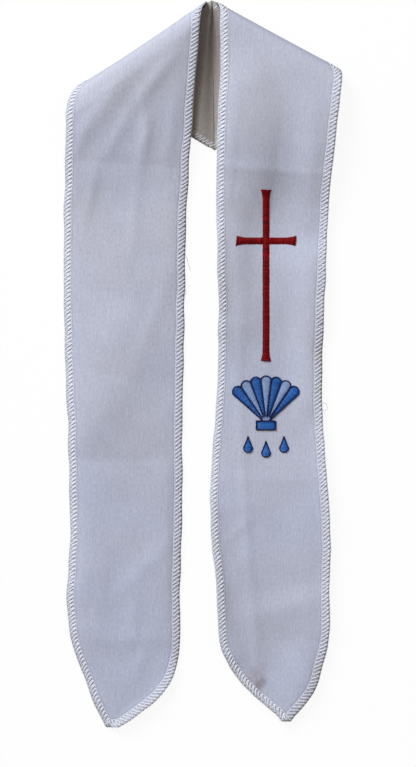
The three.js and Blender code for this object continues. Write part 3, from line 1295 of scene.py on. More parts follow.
@dataclass(frozen=True)
class CrossMotif:
    """A slender Latin cross in red satin stitch whose four ends flare.

    Attributes:
        flare: How much wider an end is on each side.
        tuck: How far the arms run in under the upright.
    """

    centre: float
    bottom: float
    top: float
    arms_below_top: float = 44.0
    half_span: float = 25.0
    half_width: float = 2.9
    flare: float = 1.7
    flare_length: float = 9.0
    tuck: float = 0.9
    station_step: float = 1.5
    satin: Satin = Satin()

    def bar(
        self, start: Place, end: Place, flare_start: bool, flare_end: bool
    ) -> tuple[Array, Array]:
        """Lays out a bar.

        Args:
            start: Where its spine starts.
            end: Where it ends.
            flare_start: Whether its start flares.
            flare_end: Whether its end does.

        Returns:
            Its spine and the half-widths along it.
        """
        length = math.dist(start, end)
        count = max(int(length / self.station_step), 8)
        share = np.linspace(0.0, 1.0, count)[:, None]
        spine = blend(np.array(start), np.array(end), share)
        half = np.full(count, self.half_width)
        for wanted, away in ((flare_start, share[:, 0] * length), (flare_end, (1.0 - share[:, 0]) * length)):
            if wanted:
                half = half + self.flare * np.clip(1.0 - away / self.flare_length, 0.0, 1.0) ** 1.8
        return spine, half

    def build(self, cloth: ClothMap) -> Object:
        """Stitches the cross, its arms first and its upright over them.

        Args:
            cloth: Where the cloth lies.

        Returns:
            The cross's object.
        """
        bundle = ThreadBundle(cloth)
        inset = self.half_width - self.tuck
        x, y = self.centre, self.top - self.arms_below_top
        for way, seed in ((-1.0, 3), (1.0, 4)):
            spine, half = self.bar((x + way * self.half_span, y), (x + way * inset, y), True, False)
            self.satin.column(bundle, spine, half, seed)
        spine, half = self.bar((x, self.top), (x, self.bottom), True, True)
        self.satin.column(bundle, spine, half, 5)
        return bundle.build("embroidered_cross_threads")


@dataclass(frozen=True)
class ShellMotif:
    """A scallop shell: ribs in two blues fan up from a hinge between two ears, with a navy outline.

    Attributes:
        spread: Angle of its outermost rib edge from upright, in radians.
        ear: Reach of each ear from the middle.
        ear_drop: Drop of the ears below the hinge.
        ear_rise: Their rise above it, as a share of that drop.
        root: Distance from the hinge at which the ribs and the outermost lines start.
        inner_root: That of the lines between ribs.
    """

    centre: float
    foot: float
    radius: float = 39.0
    spread: float = 0.84
    ribs: int = 7
    lobe: float = 2.4
    ear: float = 8.0
    ear_drop: float = 5.0
    ear_rise: float = 0.4
    outline: float = 0.62
    root: float = 1.6
    inner_root: float = 6.0
    satin: Satin = Satin(crown=0.9, slant=0.0)
    cord: Satin = Satin(spacing=0.42, thread_width=0.5, crown=1.45, crown_width=0.62, slant=24.0, stations=5)

    @property
    def hinge(self) -> float:
        """The level of its hinge."""
        return self.foot + self.ear_drop

    @property
    def ear_levels(self) -> Place:
        """The lowest and highest level of its ears."""
        return self.hinge - self.ear_drop, self.hinge + self.ear_drop * self.ear_rise

    @property
    def step(self) -> float:
        """The angle that a rib takes up."""
        return 2.0 * self.spread / self.ribs

    def rim(self, angle: Array, reach: Array) -> Array:
        """Places at an angle from upright and a distance from the hinge."""
        return np.stack((self.centre + np.sin(angle) * reach, self.hinge + np.cos(angle) * reach), axis=-1)

    def rib(self, index: int) -> tuple[Array, Array]:
        """Lays out a rib from the hinge out, narrowing to a rounded end.

        Args:
            index: Its number from the left.

        Returns:
            Its spine and the half-widths along it.
        """
        angle = -self.spread + self.step * (index + 0.5)
        reach = np.linspace(self.root, self.radius + self.lobe * 0.25, 40)
        half = reach * math.tan(self.step / 2.0) - self.outline * 0.5
        shoulder = self.radius - self.lobe * 0.9
        past = np.clip((reach - shoulder) / (self.radius + self.lobe * 0.3 - shoulder), 0.0, 1.0)
        half = half * np.sqrt(np.clip(1.0 - 0.75 * past**2.2, 0.0, 1.0))
        return self.rim(np.full(len(reach), angle), reach), np.maximum(half, 0.15)

    def ears(self) -> tuple[Array, Array]:
        """Lays out the bar that joins the two ears.

        Returns:
            Its spine and the half-widths along it.
        """
        spine = np.array([(self.centre, level) for level in self.ear_levels])
        return spine, np.array((self.ear, self.ear)) - self.outline * 0.4

    def lobes(self) -> Array:
        """Lays out the scalloped rim.

        Returns:
            Places along it.
        """
        share = np.linspace(0.0, 1.0, 13)
        line = []
        for index in range(self.ribs):
            angle = -self.spread + self.step * (index + share)
            reach = self.radius - self.lobe + self.lobe * hump(share) ** 0.7 * 1.25
            line.append(self.rim(angle, reach)[:-1])
        last = self.rim(np.array([self.spread]), np.array([self.radius - self.lobe]))
        return np.concatenate((*line, last))

    def outlines(self) -> list[Array]:
        """Lays out every line that is worked in navy.

        Returns:
            Places along the rim, the lines beside the ribs and the ears.
        """
        lines = [self.lobes()]
        for index in range(self.ribs + 1):
            start = self.inner_root if 0 < index < self.ribs else self.root
            angle = -self.spread + self.step * index
            lines.append(self.rim(np.full(2, angle), np.array((start, self.radius - self.lobe))))
        left, right = self.centre - self.ear, self.centre + self.ear
        low, high = self.ear_levels
        lines.append(np.array(((left, high), (left, low), (right, low), (right, high), (left, high))))
        return lines

    def build(self, cloth: ClothMap) -> dict[str, Object]:
        """Stitches the ribs, the ears and the outline.

        Args:
            cloth: Where the cloth lies.

        Returns:
            The shell's objects by the name of their thread.
        """
        mid, light, navy = (ThreadBundle(cloth) for _ in range(3))
        for index in range(self.ribs):
            spine, half = self.rib(index)
            self.satin.column(mid if index % 2 == 0 else light, spine, half, 20 + index)
        self.satin.column(mid, *self.ears(), 30)
        for seed, line in enumerate(self.outlines(), 40):
            self.cord.column(navy, line, np.full(len(line), self.outline), seed)
        return {
            "mid": mid.build("embroidered_shell_ribs"),
            "light": light.build("embroidered_shell_light_ribs"),
            "navy": navy.build("embroidered_shell_outline"),
        }


@dataclass(frozen=True)
class DropMotif:
    """A drop in blue satin stitch with a sharp top, a round foot and a navy outline.

    Attributes:
        name: Name of the CAD node that it stands for.
    """

    name: str
    centre: float
    top: float
    half_width: float = 3.8
    length: float = 14.0
    outline: float = 0.45
    satin: Satin = Satin(crown=0.95, slant=-6.0)
    cord: Satin = Satin(spacing=0.42, thread_width=0.46, crown=1.2, crown_width=0.45, slant=24.0, stations=5)

    def half_widths(self, fall: Array) -> Array:
        """Works out the drop's form.

        Args:
            fall: Distances below its top.

        Returns:
            Half its width at each of them.
        """
        shoulder = self.length - self.half_width
        neck = self.half_width * (fall / shoulder) ** 1.25
        foot = np.sqrt(np.clip(self.half_width**2 - (fall - shoulder) ** 2, 0.0, None))
        return np.where(fall < shoulder, neck, foot)

    def build(self, cloth: ClothMap) -> dict[str, Object]:
        """Stitches the drop and its outline.

        Args:
            cloth: Where the cloth lies.

        Returns:
            Its objects by the name of their thread.
        """
        fall = np.linspace(0.4, self.length - 0.2, 60)
        spine = np.stack((np.full(len(fall), self.centre), self.top - fall), axis=1)
        fill, rim = ThreadBundle(cloth), ThreadBundle(cloth)
        half = self.half_widths(fall)
        self.satin.column(fill, spine, np.maximum(half - self.outline * 0.2, 0.1), 60)
        turn = np.concatenate((fall, fall[::-1]))
        ways = np.repeat((-1.0, 1.0), len(fall)) * np.concatenate((half, half[::-1]))
        line = np.stack((self.centre + ways, self.top - turn), axis=1)
        self.cord.column(rim, line, np.full(len(line), self.outline), 61)
        return {"mid": fill.build(f"{self.name}_threads"), "navy": rim.build(f"{self.name}_outline")}


# ---------- Finishes ----------


class NodeSheet:
    """Places and links shader nodes in one tree."""

    def __init__(self, tree: NodeTree) -> None:
        """Starts on a tree."""
        self.tree = tree
        self.column = 0

    def add(self, kind: str, inputs: dict[str, object] | None = None, **settings: object) -> Node:
        """Adds a node.

        Args:
            kind: Its type.
            inputs: Sockets, numbers or colours for its inputs, by name.
            settings: Its properties.

        Returns:
            The node.
        """
        node = self.tree.nodes.new(kind)
        node.location = (self.column * 190, -(self.column % 5) * 150)
        self.column += 1
        for key, value in settings.items():
            setattr(node, key, value)
        for key, value in (inputs or {}).items():
            self.feed(node.inputs[key], value)
        return node

    def link(self, source: Socket, target: Socket) -> None:
        """Joins two sockets."""
        self.tree.links.new(source, target)

    def feed(self, socket: Socket, value: object) -> None:
        """Joins a socket to another one, or sets it to a number or a colour.

        Args:
            socket: The socket.
            value: Another socket, or the number or colour.
        """
        if isinstance(value, Socket):
            self.link(value, socket)
        else:
            socket.default_value = value

    def operate(self, kind: str, operation: str, *values: object) -> Node:
        """Adds a node that works on its inputs in turn.

        Args:
            kind: Its type.
            operation: Name of the operation.
            values: A number or a socket for each input.

        Returns:
            The node.
        """
        node = self.add(kind, operation=operation)
        for socket, value in zip(node.inputs, values):
            self.feed(socket, value)
        return node

    def math(self, operation: str, *values: object) -> Socket:
        """A Math node's result."""
        return self.operate("ShaderNodeMath", operation, *values).outputs[0]

    def vectors(self, operation: str, *values: object) -> Node:
        """A Vector Math node."""
        return self.operate("ShaderNodeVectorMath", operation, *values)

    def scaled(self, vector: Socket, factor: Socket) -> Socket:
        """A vector or a colour multiplied by a number."""
        values = {"Vector": vector, "Scale": factor}
        return self.add("ShaderNodeVectorMath", values, operation="SCALE").outputs[0]

    def split(self, vector: Socket) -> tuple[Socket, Socket]:
        """The first two numbers of a vector."""
        node = self.add("ShaderNodeSeparateXYZ", {"Vector": vector})
        return node.outputs["X"], node.outputs["Y"]

    def noise(self, vector: Socket, scale: float, detail: float, rough: float = 0.5) -> Socket:
        """A Noise texture's value."""
        values = {"Vector": vector, "Scale": scale, "Detail": detail, "Roughness": rough}
        return self.add("ShaderNodeTexNoise", values).outputs["Fac"]

    def stretched(self, vector: Socket, scale: Colour, move: Colour = (0.0, 0.0, 0.0)) -> Socket:
        """A vector scaled along its three axes and moved."""
        values = {"Vector": vector, "Scale": scale, "Location": move}
        return self.add("ShaderNodeMapping", values).outputs["Vector"]

    def remap(self, value: Socket, source: Place, target: Place = (0.0, 1.0)) -> Socket:
        """A value carried from one range to another and held inside it."""
        ranges = dict(zip(("From Min", "From Max", "To Min", "To Max"), (*source, *target)))
        return self.add("ShaderNodeMapRange", {"Value": value, **ranges}).outputs["Result"]

    def mix(self, share: object, first: object, second: object, kind: str = "MIX") -> Socket:
        """Mixes two colours.

        Args:
            share: Share of the second colour, as a number or a socket.
            first: The first colour, as a colour or a socket.
            second: The second colour.
            kind: How they are mixed.

        Returns:
            The mixed colour's socket.
        """
        node = self.add("ShaderNodeMix", data_type="RGBA", blend_type=kind)
        self.feed(node.inputs[0], share)
        for socket, value in ((node.inputs[6], first), (node.inputs[7], second)):
            self.feed(socket, value if isinstance(value, Socket) else (*value, 1.0))
        return node.outputs[2]

    def attribute(self, name: str) -> Socket:
        """A number that the mesh carries."""
        return self.add("ShaderNodeAttribute", attribute_name=name).outputs["Fac"]

    def map_place(self, name: str) -> Socket:
        """The place on one of the mesh's maps."""
        return self.add("ShaderNodeUVMap", uv_map=name).outputs["UV"]

    def bump(self, height: Socket, strength: float, distance: float) -> Socket:
        """A normal tilted by a height, whose unit is given in metres."""
        values = {"Strength": strength, "Distance": distance, "Height": height}
        return self.add("ShaderNodeBump", values).outputs[0]


def node_group(
    name: str, inputs: Iterable[tuple[str, str, object]], outputs: Iterable[str]
) -> tuple[NodeSheet, dict[str, Socket], dict[str, Socket]]:
    """Starts a shader node group.

    Args:
        name: Name of the group.
        inputs: Name, kind of socket and default value of each input.
        outputs: Name of each output, all of them numbers.

    Returns:
        The group's sheet, and the sockets of its inputs and of its outputs by name.
    """
    tree = bpy.data.node_groups.new(name, "ShaderNodeTree")
    for label, kind, value in inputs:
        socket = tree.interface.new_socket(name=label, in_out="INPUT", socket_type=f"NodeSocket{kind}")
        if value is not None:
            socket.default_value = value
    for label in outputs:
        tree.interface.new_socket(name=label, in_out="OUTPUT", socket_type="NodeSocketFloat")
    source, result = tree.nodes.new("NodeGroupInput"), tree.nodes.new("NodeGroupOutput")
    return NodeSheet(tree), dict(source.outputs.items()), dict(result.inputs.items())


class Effects:
    """The shader node groups that the finishes share."""

    def __init__(self) -> None:
        """Builds every group once."""
        self.mottle = self._mottle()
        self.weave = self._weave()
        self.ply = self._ply()
        self.mark = self._mark()

    @staticmethod
    def place(sheet: NodeSheet, group: NodeTree, **values: object) -> Node:
        """Puts a group into a material.

        Args:
            sheet: The material's node sheet.
            group: The group.
            values: Its inputs by name, with underscores for spaces.

        Returns:
            The group node.
        """
        node = sheet.add("ShaderNodeGroup", node_tree=group)
        for key, value in values.items():
            sheet.feed(node.inputs[key.replace("_", " ")], value)
        return node

    @staticmethod
    def _mottle() -> NodeTree:
        """Makes slow uneven tone, as of cloth or yarn that has been handled and washed.

        Returns:
            The group.
        """
        inputs = [("Place", "Vector", None), ("Size", "Float", 0.05), ("Strength", "Float", 0.03)]
        sheet, given, result = node_group("Uneven tone", inputs, ("Tone", "Warmth"))
        place = sheet.scaled(given["Place"], sheet.math("DIVIDE", 1.0, given["Size"]))
        tone = sheet.noise(place, 1.0, 3.0)
        warmth = sheet.noise(sheet.stretched(place, (0.7, 0.7, 0.7), (7.3, 2.1, 5.7)), 1.0, 2.0)
        swing = sheet.math("MULTIPLY", sheet.math("SUBTRACT", tone, 0.5), 4.0)
        sheet.link(sheet.math("MULTIPLY_ADD", swing, given["Strength"], 1.0), result["Tone"])
        sheet.link(sheet.remap(warmth, (0.35, 0.65)), result["Warmth"])
        return sheet.tree

    @staticmethod
    def _weave() -> NodeTree:
        """Makes twill: fine slanting ribs over crossing yarns, with slubs that run along the warp, and faint
        painted shade in the ribs' troughs.

        Returns:
            The group.
        """
        inputs = [("Place", "Vector", None), ("Rib", "Float", 0.0009), ("Slub", "Float", 0.03)]
        sheet, given, result = node_group("Twill weave", inputs, ("Tone", "Height"))
        place = given["Place"]
        wander = sheet.noise(place, 220.0, 2.0)
        across, along = sheet.split(place)
        slope = sheet.math("MULTIPLY_ADD", along, -0.55, across)
        phase = sheet.math("MULTIPLY", sheet.math("DIVIDE", slope, given["Rib"]), math.tau)
        rib = sheet.math("SINE", sheet.math("MULTIPLY_ADD", wander, 5.0, phase))
        long = sheet.noise(sheet.stretched(place, (850.0, 60.0, 1.0)), 1.0, 2.0, 0.6)
        short = sheet.noise(sheet.stretched(place, (800.0, 330.0, 1.0), (0.31, 0.17, 0.0)), 1.0, 1.0)
        long, short = (sheet.math("SUBTRACT", yarns, 0.5) for yarns in (long, short))
        yarn = sheet.math("MULTIPLY_ADD", long, 0.8, short)
        tone = sheet.math("MULTIPLY_ADD", yarn, given["Slub"], 1.0)
        # Painted shade: the tone dips a little in the troughs of the ribs.
        sheet.link(sheet.math("MULTIPLY_ADD", rib, 0.012, tone), result["Tone"])
        sheet.link(sheet.math("MULTIPLY_ADD", yarn, 3.0, rib), result["Height"])
        return sheet.tree

    @staticmethod
    def _ply() -> NodeTree:
        """Makes the twist of a thread, from its round and its length, with painted shade where the twist sinks.

        Returns:
            The group.
        """
        inputs = [("Round and length", "Vector", None), ("Twist", "Float", 0.0012)]
        sheet, given, result = node_group("Thread ply", inputs, ("Tone", "Height"))
        place = given["Round and length"]
        around, along = sheet.split(place)
        turns = sheet.math("DIVIDE", along, given["Twist"])
        phase = sheet.math("MULTIPLY", sheet.math("MULTIPLY_ADD", around, 2.0, turns), math.tau)
        wave = sheet.math("SINE", phase)
        fibre = sheet.noise(sheet.stretched(place, (18.0, 900.0, 1.0)), 1.0, 2.0)
        # Painted shade: the thread's tone is darker where its twist sinks.
        sheet.link(sheet.remap(wave, (-1.0, 1.0), (0.93, 1.04)), result["Tone"])
        sheet.link(sheet.math("MULTIPLY_ADD", fibre, 0.8, wave), result["Height"])
        return sheet.tree

    @staticmethod
    def _mark() -> NodeTree:
        """Makes a faint mark or stain round a place, with an uneven edge.

        Returns:
            The group.
        """
        inputs = [
            ("Place", "Vector", None),
            ("Centre", "Vector", (0.0, 0.0, 0.0)),
            ("Reach", "Vector", (0.01, 0.01, 1.0)),
            ("Turn", "Float", 0.0),
        ]
        sheet, given, result = node_group("Faint mark", inputs, ("Mask",))
        offset = sheet.vectors("SUBTRACT", given["Place"], given["Centre"]).outputs[0]
        turning = {"Vector": offset, "Angle": given["Turn"]}
        turned = sheet.add("ShaderNodeVectorRotate", rotation_type="Z_AXIS", inputs=turning).outputs[0]
        shares = sheet.vectors("DIVIDE", turned, given["Reach"]).outputs[0]
        away = sheet.vectors("LENGTH", shares).outputs["Value"]
        edge = sheet.math("SUBTRACT", sheet.noise(given["Place"], 260.0, 3.0), 0.5)
        away = sheet.math("MULTIPLY_ADD", edge, 0.9, away)
        sheet.link(sheet.remap(away, (1.0, 0.25)), result["Mask"])
        return sheet.tree


def start_material(name: str) -> tuple[Material, NodeSheet, Node]:
    """Starts a material.

    Args:
        name: Its name.

    Returns:
        The material, its node sheet and its Principled shader.
    """
    material = bpy.data.materials.new(name)
    material.use_nodes = True
    sheet = NodeSheet(material.node_tree)
    return material, sheet, material.node_tree.nodes["Principled BSDF"]


@dataclass(frozen=True)
class FaintMark:
    """A mark on the cloth, by its place on the flat cut of the halves.

    Attributes:
        reach: Its half-lengths along its own axes.
        strength: Share of its colour at its middle.
    """

    centre: Place
    reach: Place
    turn: float
    strength: float
    tint: Colour


@dataclass(frozen=True)
class TwillFinish:
    """White polyester twill with a faint lilac cast.

    Attributes:
        cool: Tint of its cooler patches, and of its pointed end as painted light.
        warm: Tint of its warmer patches, and of its neck end as painted light.
        patch_and_painted_light_warmth: Shares of the patches and of the level in the warmth.
        levels: Levels between which the painted light warms the cloth from its pointed end to its neck end, in
            metres.
        groove_place: Distance of the needle line's groove in from the edge.
        groove_reach: Half-widths of the groove at its lips and at its foot.
        bump: Strength of the bump, and its unit in metres.
    """

    face: Colour = (0.600, 0.612, 0.730)
    # The wrong side's darker, warmer colour is painted shade for the shadowed neck slot, over a slightly duller
    # wrong side.
    wrong: Colour = (0.470, 0.432, 0.405)
    cool: Colour = (0.960, 0.998, 1.065)
    warm: Colour = (1.022, 1.000, 0.970)
    patch_and_painted_light_warmth: Place = (0.45, 0.55)
    levels: Place = (-0.30, 0.28)
    mottle_size: float = 0.06
    mottle_strength: float = 0.016
    rib: float = 0.0008
    slub: float = 0.35
    groove_place: float = 6.5
    groove_reach: Place = (0.75, 0.1)
    # Painted shade: how much the needle line's groove is darkened.
    painted_groove_shade: float = 0.11
    groove_depth: float = 6.0
    bump: Place = (0.5, 0.00004)
    surface: tuple[tuple[str, float], ...] = (
        ("Roughness", 0.88),
        ("Specular IOR Level", 0.25),
        ("Sheen Weight", 0.05),
        ("Sheen Roughness", 0.5),
    )
    marks: tuple[FaintMark, ...] = (
        FaintMark((43.5, -261.0), (9.0, 17.0), 38.0, 0.9, (0.88, 0.80, 0.78)),
        FaintMark((47.0, -268.0), (6.0, 11.0), 36.0, 0.95, (0.68, 0.62, 0.60)),
        FaintMark((-70.0, 88.6), (4.0, 0.7), -12.0, 0.8, (0.88, 0.88, 0.88)),
    )

    def material(self, effects: Effects) -> Material:
        """Builds the material.

        Args:
            effects: The shared node groups.

        Returns:
            The material.
        """
        material, sheet, shader = start_material("white_twill")
        cut = sheet.map_place(CUT_MAP)
        strength, size = self.mottle_strength, self.mottle_size
        mottle = effects.place(sheet, effects.mottle, Place=cut, Size=size, Strength=strength).outputs
        weave = effects.place(sheet, effects.weave, Place=cut, Rib=self.rib, Slub=self.slub).outputs
        groove = self.groove(sheet)

        # Painted shade: the wrong side gets the darker, warmer colour that stands for the shadow in the neck
        # slot.
        colour = sheet.mix(sheet.attribute(WRONG_SIDE), self.face, self.wrong)
        # Painted light: the cloth is painted warmer towards the neck and cooler towards the pointed end.
        patches, level = self.patch_and_painted_light_warmth
        upward = sheet.math("MULTIPLY", sheet.remap(sheet.split(cut)[1], self.levels), level)
        warmth = sheet.math("MULTIPLY_ADD", mottle["Warmth"], patches, upward)
        colour = sheet.mix(1.0, colour, sheet.mix(warmth, self.cool, self.warm), "MULTIPLY")
        for mark in self.marks:
            colour = self.marked(sheet, effects, cut, colour, mark)
        tone = sheet.math("MULTIPLY", mottle["Tone"], weave["Tone"])
        # Painted shade: the tone is darkened along the needle line's groove.
        tone = sheet.math("MULTIPLY", tone, sheet.math("MULTIPLY_ADD", groove, -self.painted_groove_shade, 1.0))
        sheet.link(sheet.scaled(colour, tone), shader.inputs["Base Color"])

        relief = sheet.math("MULTIPLY_ADD", groove, -self.groove_depth, weave["Height"])
        sheet.link(sheet.bump(relief, *self.bump), shader.inputs["Normal"])
        for name, value in self.surface:
            shader.inputs[name].default_value = value
        return material

    def groove(self, sheet: NodeSheet) -> Socket:
        """Where the needle line draws the cloth down, from the distance to the bound edge; it shapes the bump
        and the painted shade there.
        """
        away = sheet.math("SUBTRACT", sheet.attribute(HEM), self.groove_place * MM)
        return sheet.remap(sheet.math("ABSOLUTE", away), tuple(reach * MM for reach in self.groove_reach))

    @staticmethod
    def marked(sheet: NodeSheet, effects: Effects, cut: Socket, colour: Socket, mark: FaintMark) -> Socket:
        """Lays a faint mark over a colour.

        Args:
            sheet: The material's node sheet.
            effects: The shared node groups.
            cut: The place on the flat cut.
            colour: The colour.
            mark: The mark.

        Returns:
            The colour with the mark.
        """
        centre, reach = (tuple(number * MM for number in pair) for pair in (mark.centre, mark.reach))
        values = {"Centre": (*centre, 0.0), "Reach": (*reach, 1.0), "Turn": math.radians(mark.turn)}
        mask = effects.place(sheet, effects.mark, Place=cut, **values).outputs["Mask"]
        share = sheet.math("MULTIPLY", mask, mark.strength)
        return sheet.mix(share, colour, sheet.mix(1.0, colour, mark.tint, "MULTIPLY"))


@dataclass(frozen=True)
class ThreadFinish:
    """A sewing or embroidery thread.

    Attributes:
        twist: Length of one turn of its ply, in metres.
    """

    name: str
    dark: Colour
    light: Colour
    roughness: float
    sheen: float
    specular: float
    sheen_roughness: float = 0.4
    twist: float = 0.0012
    bump: Place = (0.45, 0.00005)

    def material(self, effects: Effects) -> Material:
        """Builds the material.

        Args:
            effects: The shared node groups.

        Returns:
            The material.
        """
        material, sheet, shader = start_material(self.name)
        place = sheet.map_place(THREAD_MAP)
        ply = effects.place(sheet, effects.ply, Round_and_length=place, Twist=self.twist).outputs
        colour = sheet.mix(sheet.attribute(SHADE), self.dark, self.light)
        sheet.link(sheet.scaled(colour, ply["Tone"]), shader.inputs["Base Color"])
        sheet.link(sheet.bump(ply["Height"], *self.bump), shader.inputs["Normal"])
        shader.inputs["Roughness"].default_value = self.roughness
        shader.inputs["Sheen Weight"].default_value = self.sheen
        shader.inputs["Sheen Roughness"].default_value = self.sheen_roughness
        shader.inputs["Specular IOR Level"].default_value = self.specular
        return material


OVERLOCK_THREAD = ThreadFinish("white_thread", (0.81, 0.82, 0.91), (0.89, 0.90, 0.975), 0.75, 0.06, 0.3)
RED_THREAD = ThreadFinish("red_thread", (0.08, 0.0008, 0.0015), (0.36, 0.006, 0.009), 0.5, 0.0, 0.1)
BLUE_THREAD = ThreadFinish("blue_thread", (0.012, 0.100, 0.410), (0.050, 0.215, 0.650), 0.42, 0.02, 0.32)
LIGHT_BLUE_THREAD = ThreadFinish("light_blue_thread", (0.29, 0.42, 0.70), (0.39, 0.52, 0.80), 0.48, 0.04, 0.3)
NAVY_THREAD = ThreadFinish("navy_thread", (0.006, 0.012, 0.100), (0.010, 0.020, 0.140), 0.5, 0.03, 0.3)


# ---------- Sizes of this stole ----------


SEAM = Span(inner=(8.3, 302.9), outer=(10.5, 177))

LEFT_HALF = StoleHalf(
    name="left_half",
    side=Side.LEFT,
    inner_edge=EdgeLine((
        (-302.9, -70), (-299, -63.5), (-290, -50.5), (-279, -37), (-266, -27), (-250, -21),
        (-228, -18.5), (-190, -18.8), (-135, -17), (-60, -16.7), (0, -15.8), (60, -14.6), (120, -13.4),
        (167, -11), (205, -8.2), (240, -5.7), (283, -1.8),
    )),
    outer_edge=EdgeLine((
        (-302.9, -80.5), (-299, -82.5), (-279, -91.5), (-266, -96.5), (-250, -103), (-238, -107),
        (-225, -110.2), (-195, -112.5), (-140, -110.2), (-60, -111.7), (0, -114), (60, -115.4),
        (120, -115), (167, -114), (203, -113.2),
    )),
    rest_levels=(140, 128),
    crest=Span(inner=(-1.8, 283), outer=(-113.2, 203)),
    fold=Span(inner=(3.5, 300.4), outer=(-104, 229.9)),
    landing=Span(inner=(5.2, 300.8), outer=(-80, 224.5)),
    seam=SEAM,
    rise_inner=19.5,
    rise_outer=10.5,
    fold_sag=1.2,
    back_bow=1.8,
    flat=(114, 690),
    area=60700,
    front_creases=(
        # Above the level where the front rests, fanning down from the neck
        Crease((-26, 254), (-50, 223), 6, 1.1),
        Crease((-50, 223), (-46, 196), 5.5, 0.8),
        Crease((-46, 198), (-50, 172), 5.5, 1.4),
        Crease((-57, 214), (-80, 174), 5.5, 0.65),
        Crease((-66, 236), (-95, 198), 10, 1.4, right=6.5),
        Crease((-95, 198), (-107, 172), 5, 0.6),
        Crease((-22, 222), (-29, 170), 5, 0.6),
        # The faint line at that level
        Crease((-113, 169.6), (-12, 163.4), 4.5, -0.4, pressed=True),
        # Below it
        Crease((-89, 162), (-97, 120), 5, 0.8),
        Crease((-54, 158), (-58, 95), 5, 0.6),
        Crease((-21, 136), (-21, 88), 9, 1.8, right=16),
        # A broad swelling that runs down and outwards
        Crease((-64, 54), (-78, -8), 26, 3.1, right=34, fade=50),
        Crease((-78, -8), (-98, -80), 31, 3.4, right=30),
        Crease((-27, 72), (-56, -5), 8, 0.7),
        Crease((-46, 0), (-50, -58), 15, 0.9, right=28),
        # The lower packing crease
        Crease((-111, -78.8), (-17, -80.4), 5, -0.35, pressed=True),
        # Along the inner side, just inside the overlock
        Crease((-29.5, -86), (-30, -210), 4.5, 0.7, right=14),
        # Towards the pointed end
        Crease((-29, -151), (-72, -193), 8, 0.65),
        Crease((-95, -142), (-99, -216), 19, 2.8, right=13),
        Crease((-82, -172), (-86, -216), 7, 0.6),
        Crease((-55, -194), (-58, -226), 6, 0.7),
        Crease((-48, -240), (-54, -256), 6, 0.6),
        Crease((-75, -230), (-35, -228), 8, 0.7),
        # The rounded inner side of the point curls up
        Crease((-19, -262), (-29, -284), 9, 0.9),
        Crease((-29, -282), (-60, -309), 10, 2),
    ),
    back_creases=(
        Crease((2, 280), (-12, 205), 9, 0.8),
        Crease((-30, 255), (-42, 216), 8, 1.1),
        Crease((-58, 236), (-50, 214), 7, 0.7),
    ),
    ripple=Ripple(seed=5, shortest=22, longest=75, height=0.16),
    edge_ripple=Ripple(seed=8, shortest=14, longest=60, height=0.22),
    rise_bend=1.05,
    tail=((-15.5, 91.5), (-13.8, 90.2), (-12.2, 87), (-11.2, 82.5), (-9.8, 77.5)),
    tail_lift=-0.2,
    crown=4.9,
    droop_inner=((-272, -1), (-246, 3.5)),
    droop_outer=(
        (-228, 4.9), (-200, 4.2), (-150, 3.5), (-110, 4.7), (-60, 4.8), (-36, 4.3), (5, 4.9), (40, 4.6),
        (110, 4.1), (150, 4.7), (192, 2.9), (225, 3.9),
    ),
)

